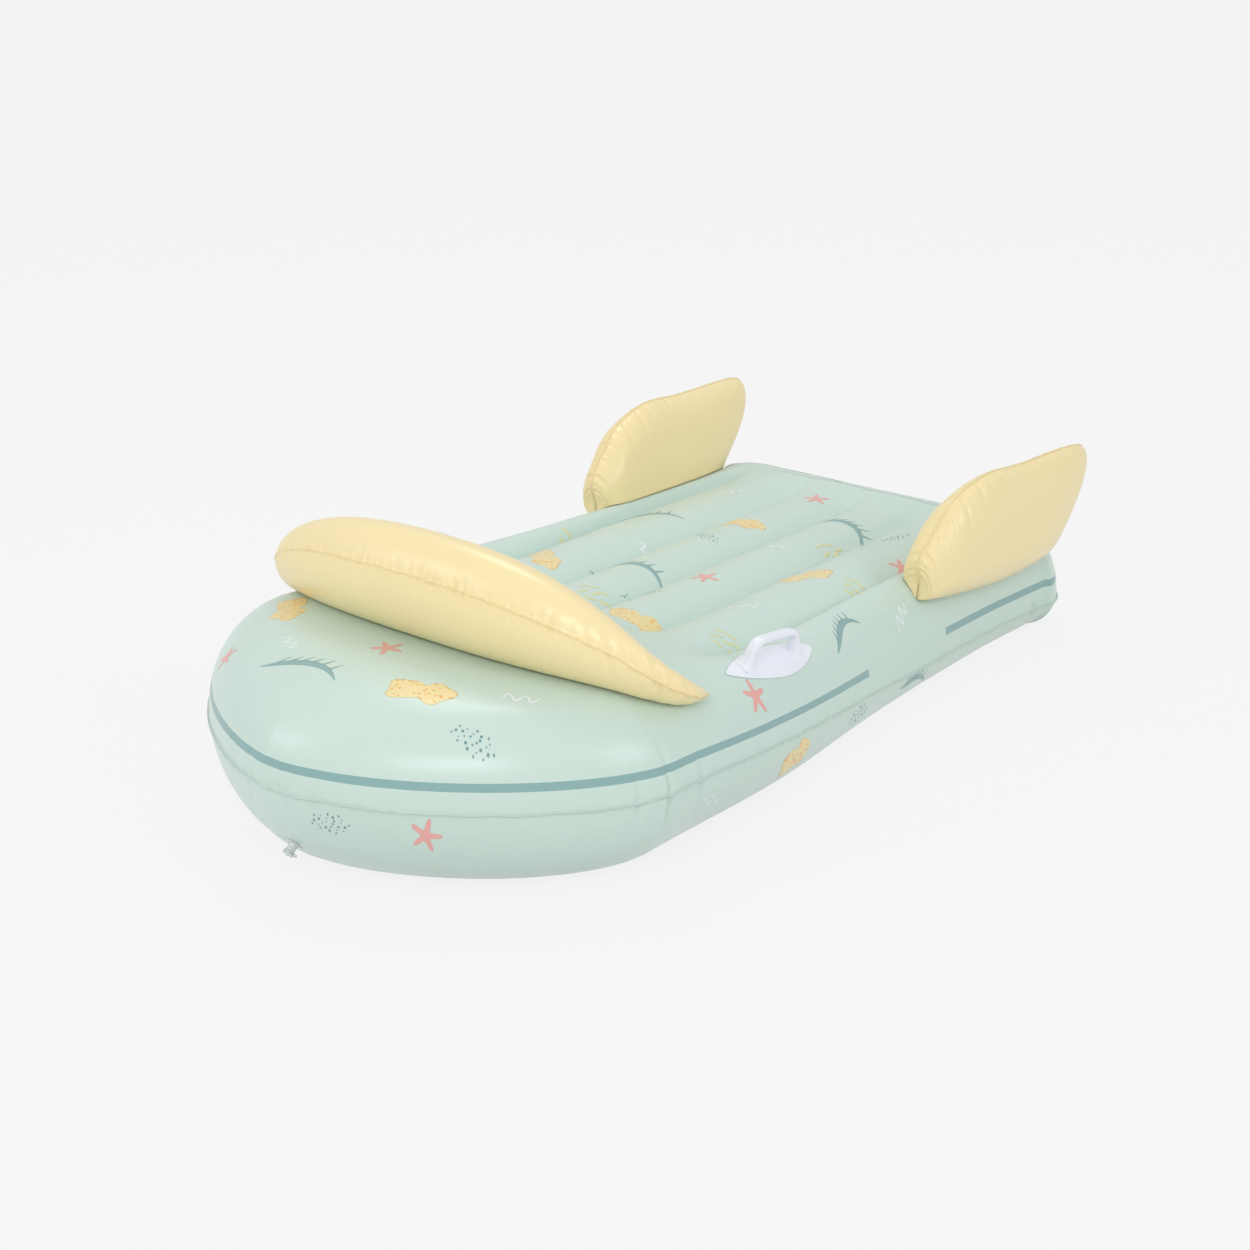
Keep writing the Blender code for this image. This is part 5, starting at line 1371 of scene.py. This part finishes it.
# %% Floor, world, lights
def stage_material(tone, bounce, glow):
    """Diffuse floor for lighting; for the camera, mirrors and clear parts it glows at nearly the same tone."""
    material = bpy.data.materials.new("studio floor")
    material.use_nodes = True
    nodes, links = material.node_tree.nodes, material.node_tree.links
    shader = nodes["Principled BSDF"]
    shader.inputs["Base Color"].default_value = (bounce, bounce, bounce, 1)
    shader.inputs["Roughness"].default_value = 1.0
    shader.inputs["Specular IOR Level"].default_value = 0.0
    light, seen = nodes.new("ShaderNodeEmission"), nodes.new("ShaderNodeLightPath").outputs
    light.inputs["Color"].default_value = (tone, tone, tone, 1)
    maths, blend = maths_in(material.node_tree), nodes.new("ShaderNodeMixShader")
    either = maths("MAXIMUM", seen["Is Camera Ray"], seen["Is Glossy Ray"])
    either = maths("MAXIMUM", either, seen["Is Transmission Ray"])
    links.new(maths("MULTIPLY", either, glow), blend.inputs["Fac"])
    links.new(shader.outputs["BSDF"], blend.inputs[1])
    links.new(light.outputs["Emission"], blend.inputs[2])
    links.new(blend.outputs["Shader"], nodes["Material Output"].inputs["Surface"])
    return material


PALE, FLOOR, FLOOR_BOUNCE, FLOOR_GLOW, WORLD = 0.913, 0.935, 0.80, 0.90, 0.70
FLOOR_HALF, FLOOR_DROP = 25, 0.0006
corners = [(x * FLOOR_HALF, y * FLOOR_HALF, -FLOOR_DROP) for x, y in ((-1, -1), (1, -1), (1, 1), (-1, 1))]
floor_mesh = bpy.data.meshes.new("studio_floor")
floor_mesh.from_pydata(corners, [], [(0, 1, 2, 3)])
floor_mesh.materials.append(stage_material(FLOOR, FLOOR_BOUNCE, FLOOR_GLOW))
floor = into_scene("studio_floor", floor_mesh)

world = bpy.data.worlds.new("studio")
bpy.context.scene.world = world
world.use_nodes = True
back = world.node_tree.nodes["Background"].inputs
seen, maths = world.node_tree.nodes.new("ShaderNodeLightPath").outputs, maths_in(world.node_tree)
either = maths("MAXIMUM", seen["Is Camera Ray"], seen["Is Transmission Ray"])
back["Color"].default_value = (1, 1, 1, 1)
world.node_tree.links.new(maths("MULTIPLY_ADD", either, PALE - WORLD, WORLD), back["Strength"])


def soft_light(name, place, aim, size, power):
    """Rectangular lamp at a place, turned towards its aim; size in metres and power in watts."""
    lamp = bpy.data.lights.new(name, "AREA")
    lamp.shape, lamp.size, lamp.size_y, lamp.energy = "RECTANGLE", size[0], size[1], power
    obj = into_scene(name, lamp)
    obj.location = place
    obj.rotation_euler = (Vector(aim) - Vector(place)).to_track_quat("-Z", "Y").to_euler()


soft_light("overhead", (-0.9, 0.7, 2.4), (0, -0.1, 0.2), (0.9, 0.9), 10)
soft_light("camera_side", (1.3, -2.6, 2.0), (0, -0.3, 0.15), (1.5, 0.8), 22)
soft_light("front_left", (-1.6, -2.4, 1.7), (0, -0.3, 0.15), (1.0, 1.0), 10)
soft_light("right_fill", (4.2, 0.3, 2.6), (0, 0.2, 0.15), (1.8, 1.8), 32)

# %% [markdown]
# ## Camera
# The camera stands where it was measured to be. Its place and angles come from the float's outline and its known
# length and width, and the lens from the way its lines converge.

# %% Camera
AZIMUTH, ELEVATION, ROLL = (math.radians(a) for a in (38.887, 21.577, -0.204))
CAMERA_PLACE, LENS, SENSOR = (1.7038, -2.1536, 1.2064), 57.985, 36
level = math.cos(ELEVATION)
away = Vector((math.sin(AZIMUTH) * level, -math.cos(AZIMUTH) * level, math.sin(ELEVATION)))
right = Vector((math.cos(AZIMUTH), math.sin(AZIMUTH), 0))
above = away.cross(right)
turned_right = right * math.cos(ROLL) + above * math.sin(ROLL)
turned_above = above * math.cos(ROLL) - right * math.sin(ROLL)
lens = bpy.data.cameras.new("studio_camera")
lens.lens, lens.sensor_width = LENS, SENSOR
camera = into_scene("studio_camera", lens)
turn = Matrix((turned_right, turned_above, away)).transposed().to_4x4()
camera.matrix_world = Matrix.Translation(Vector(CAMERA_PLACE)) @ turn
bpy.context.scene.camera = camera
bpy.context.scene.view_settings.view_transform = "Standard"
print("camera at", CAMERA_PLACE, "with a lens of", LENS, "mm")
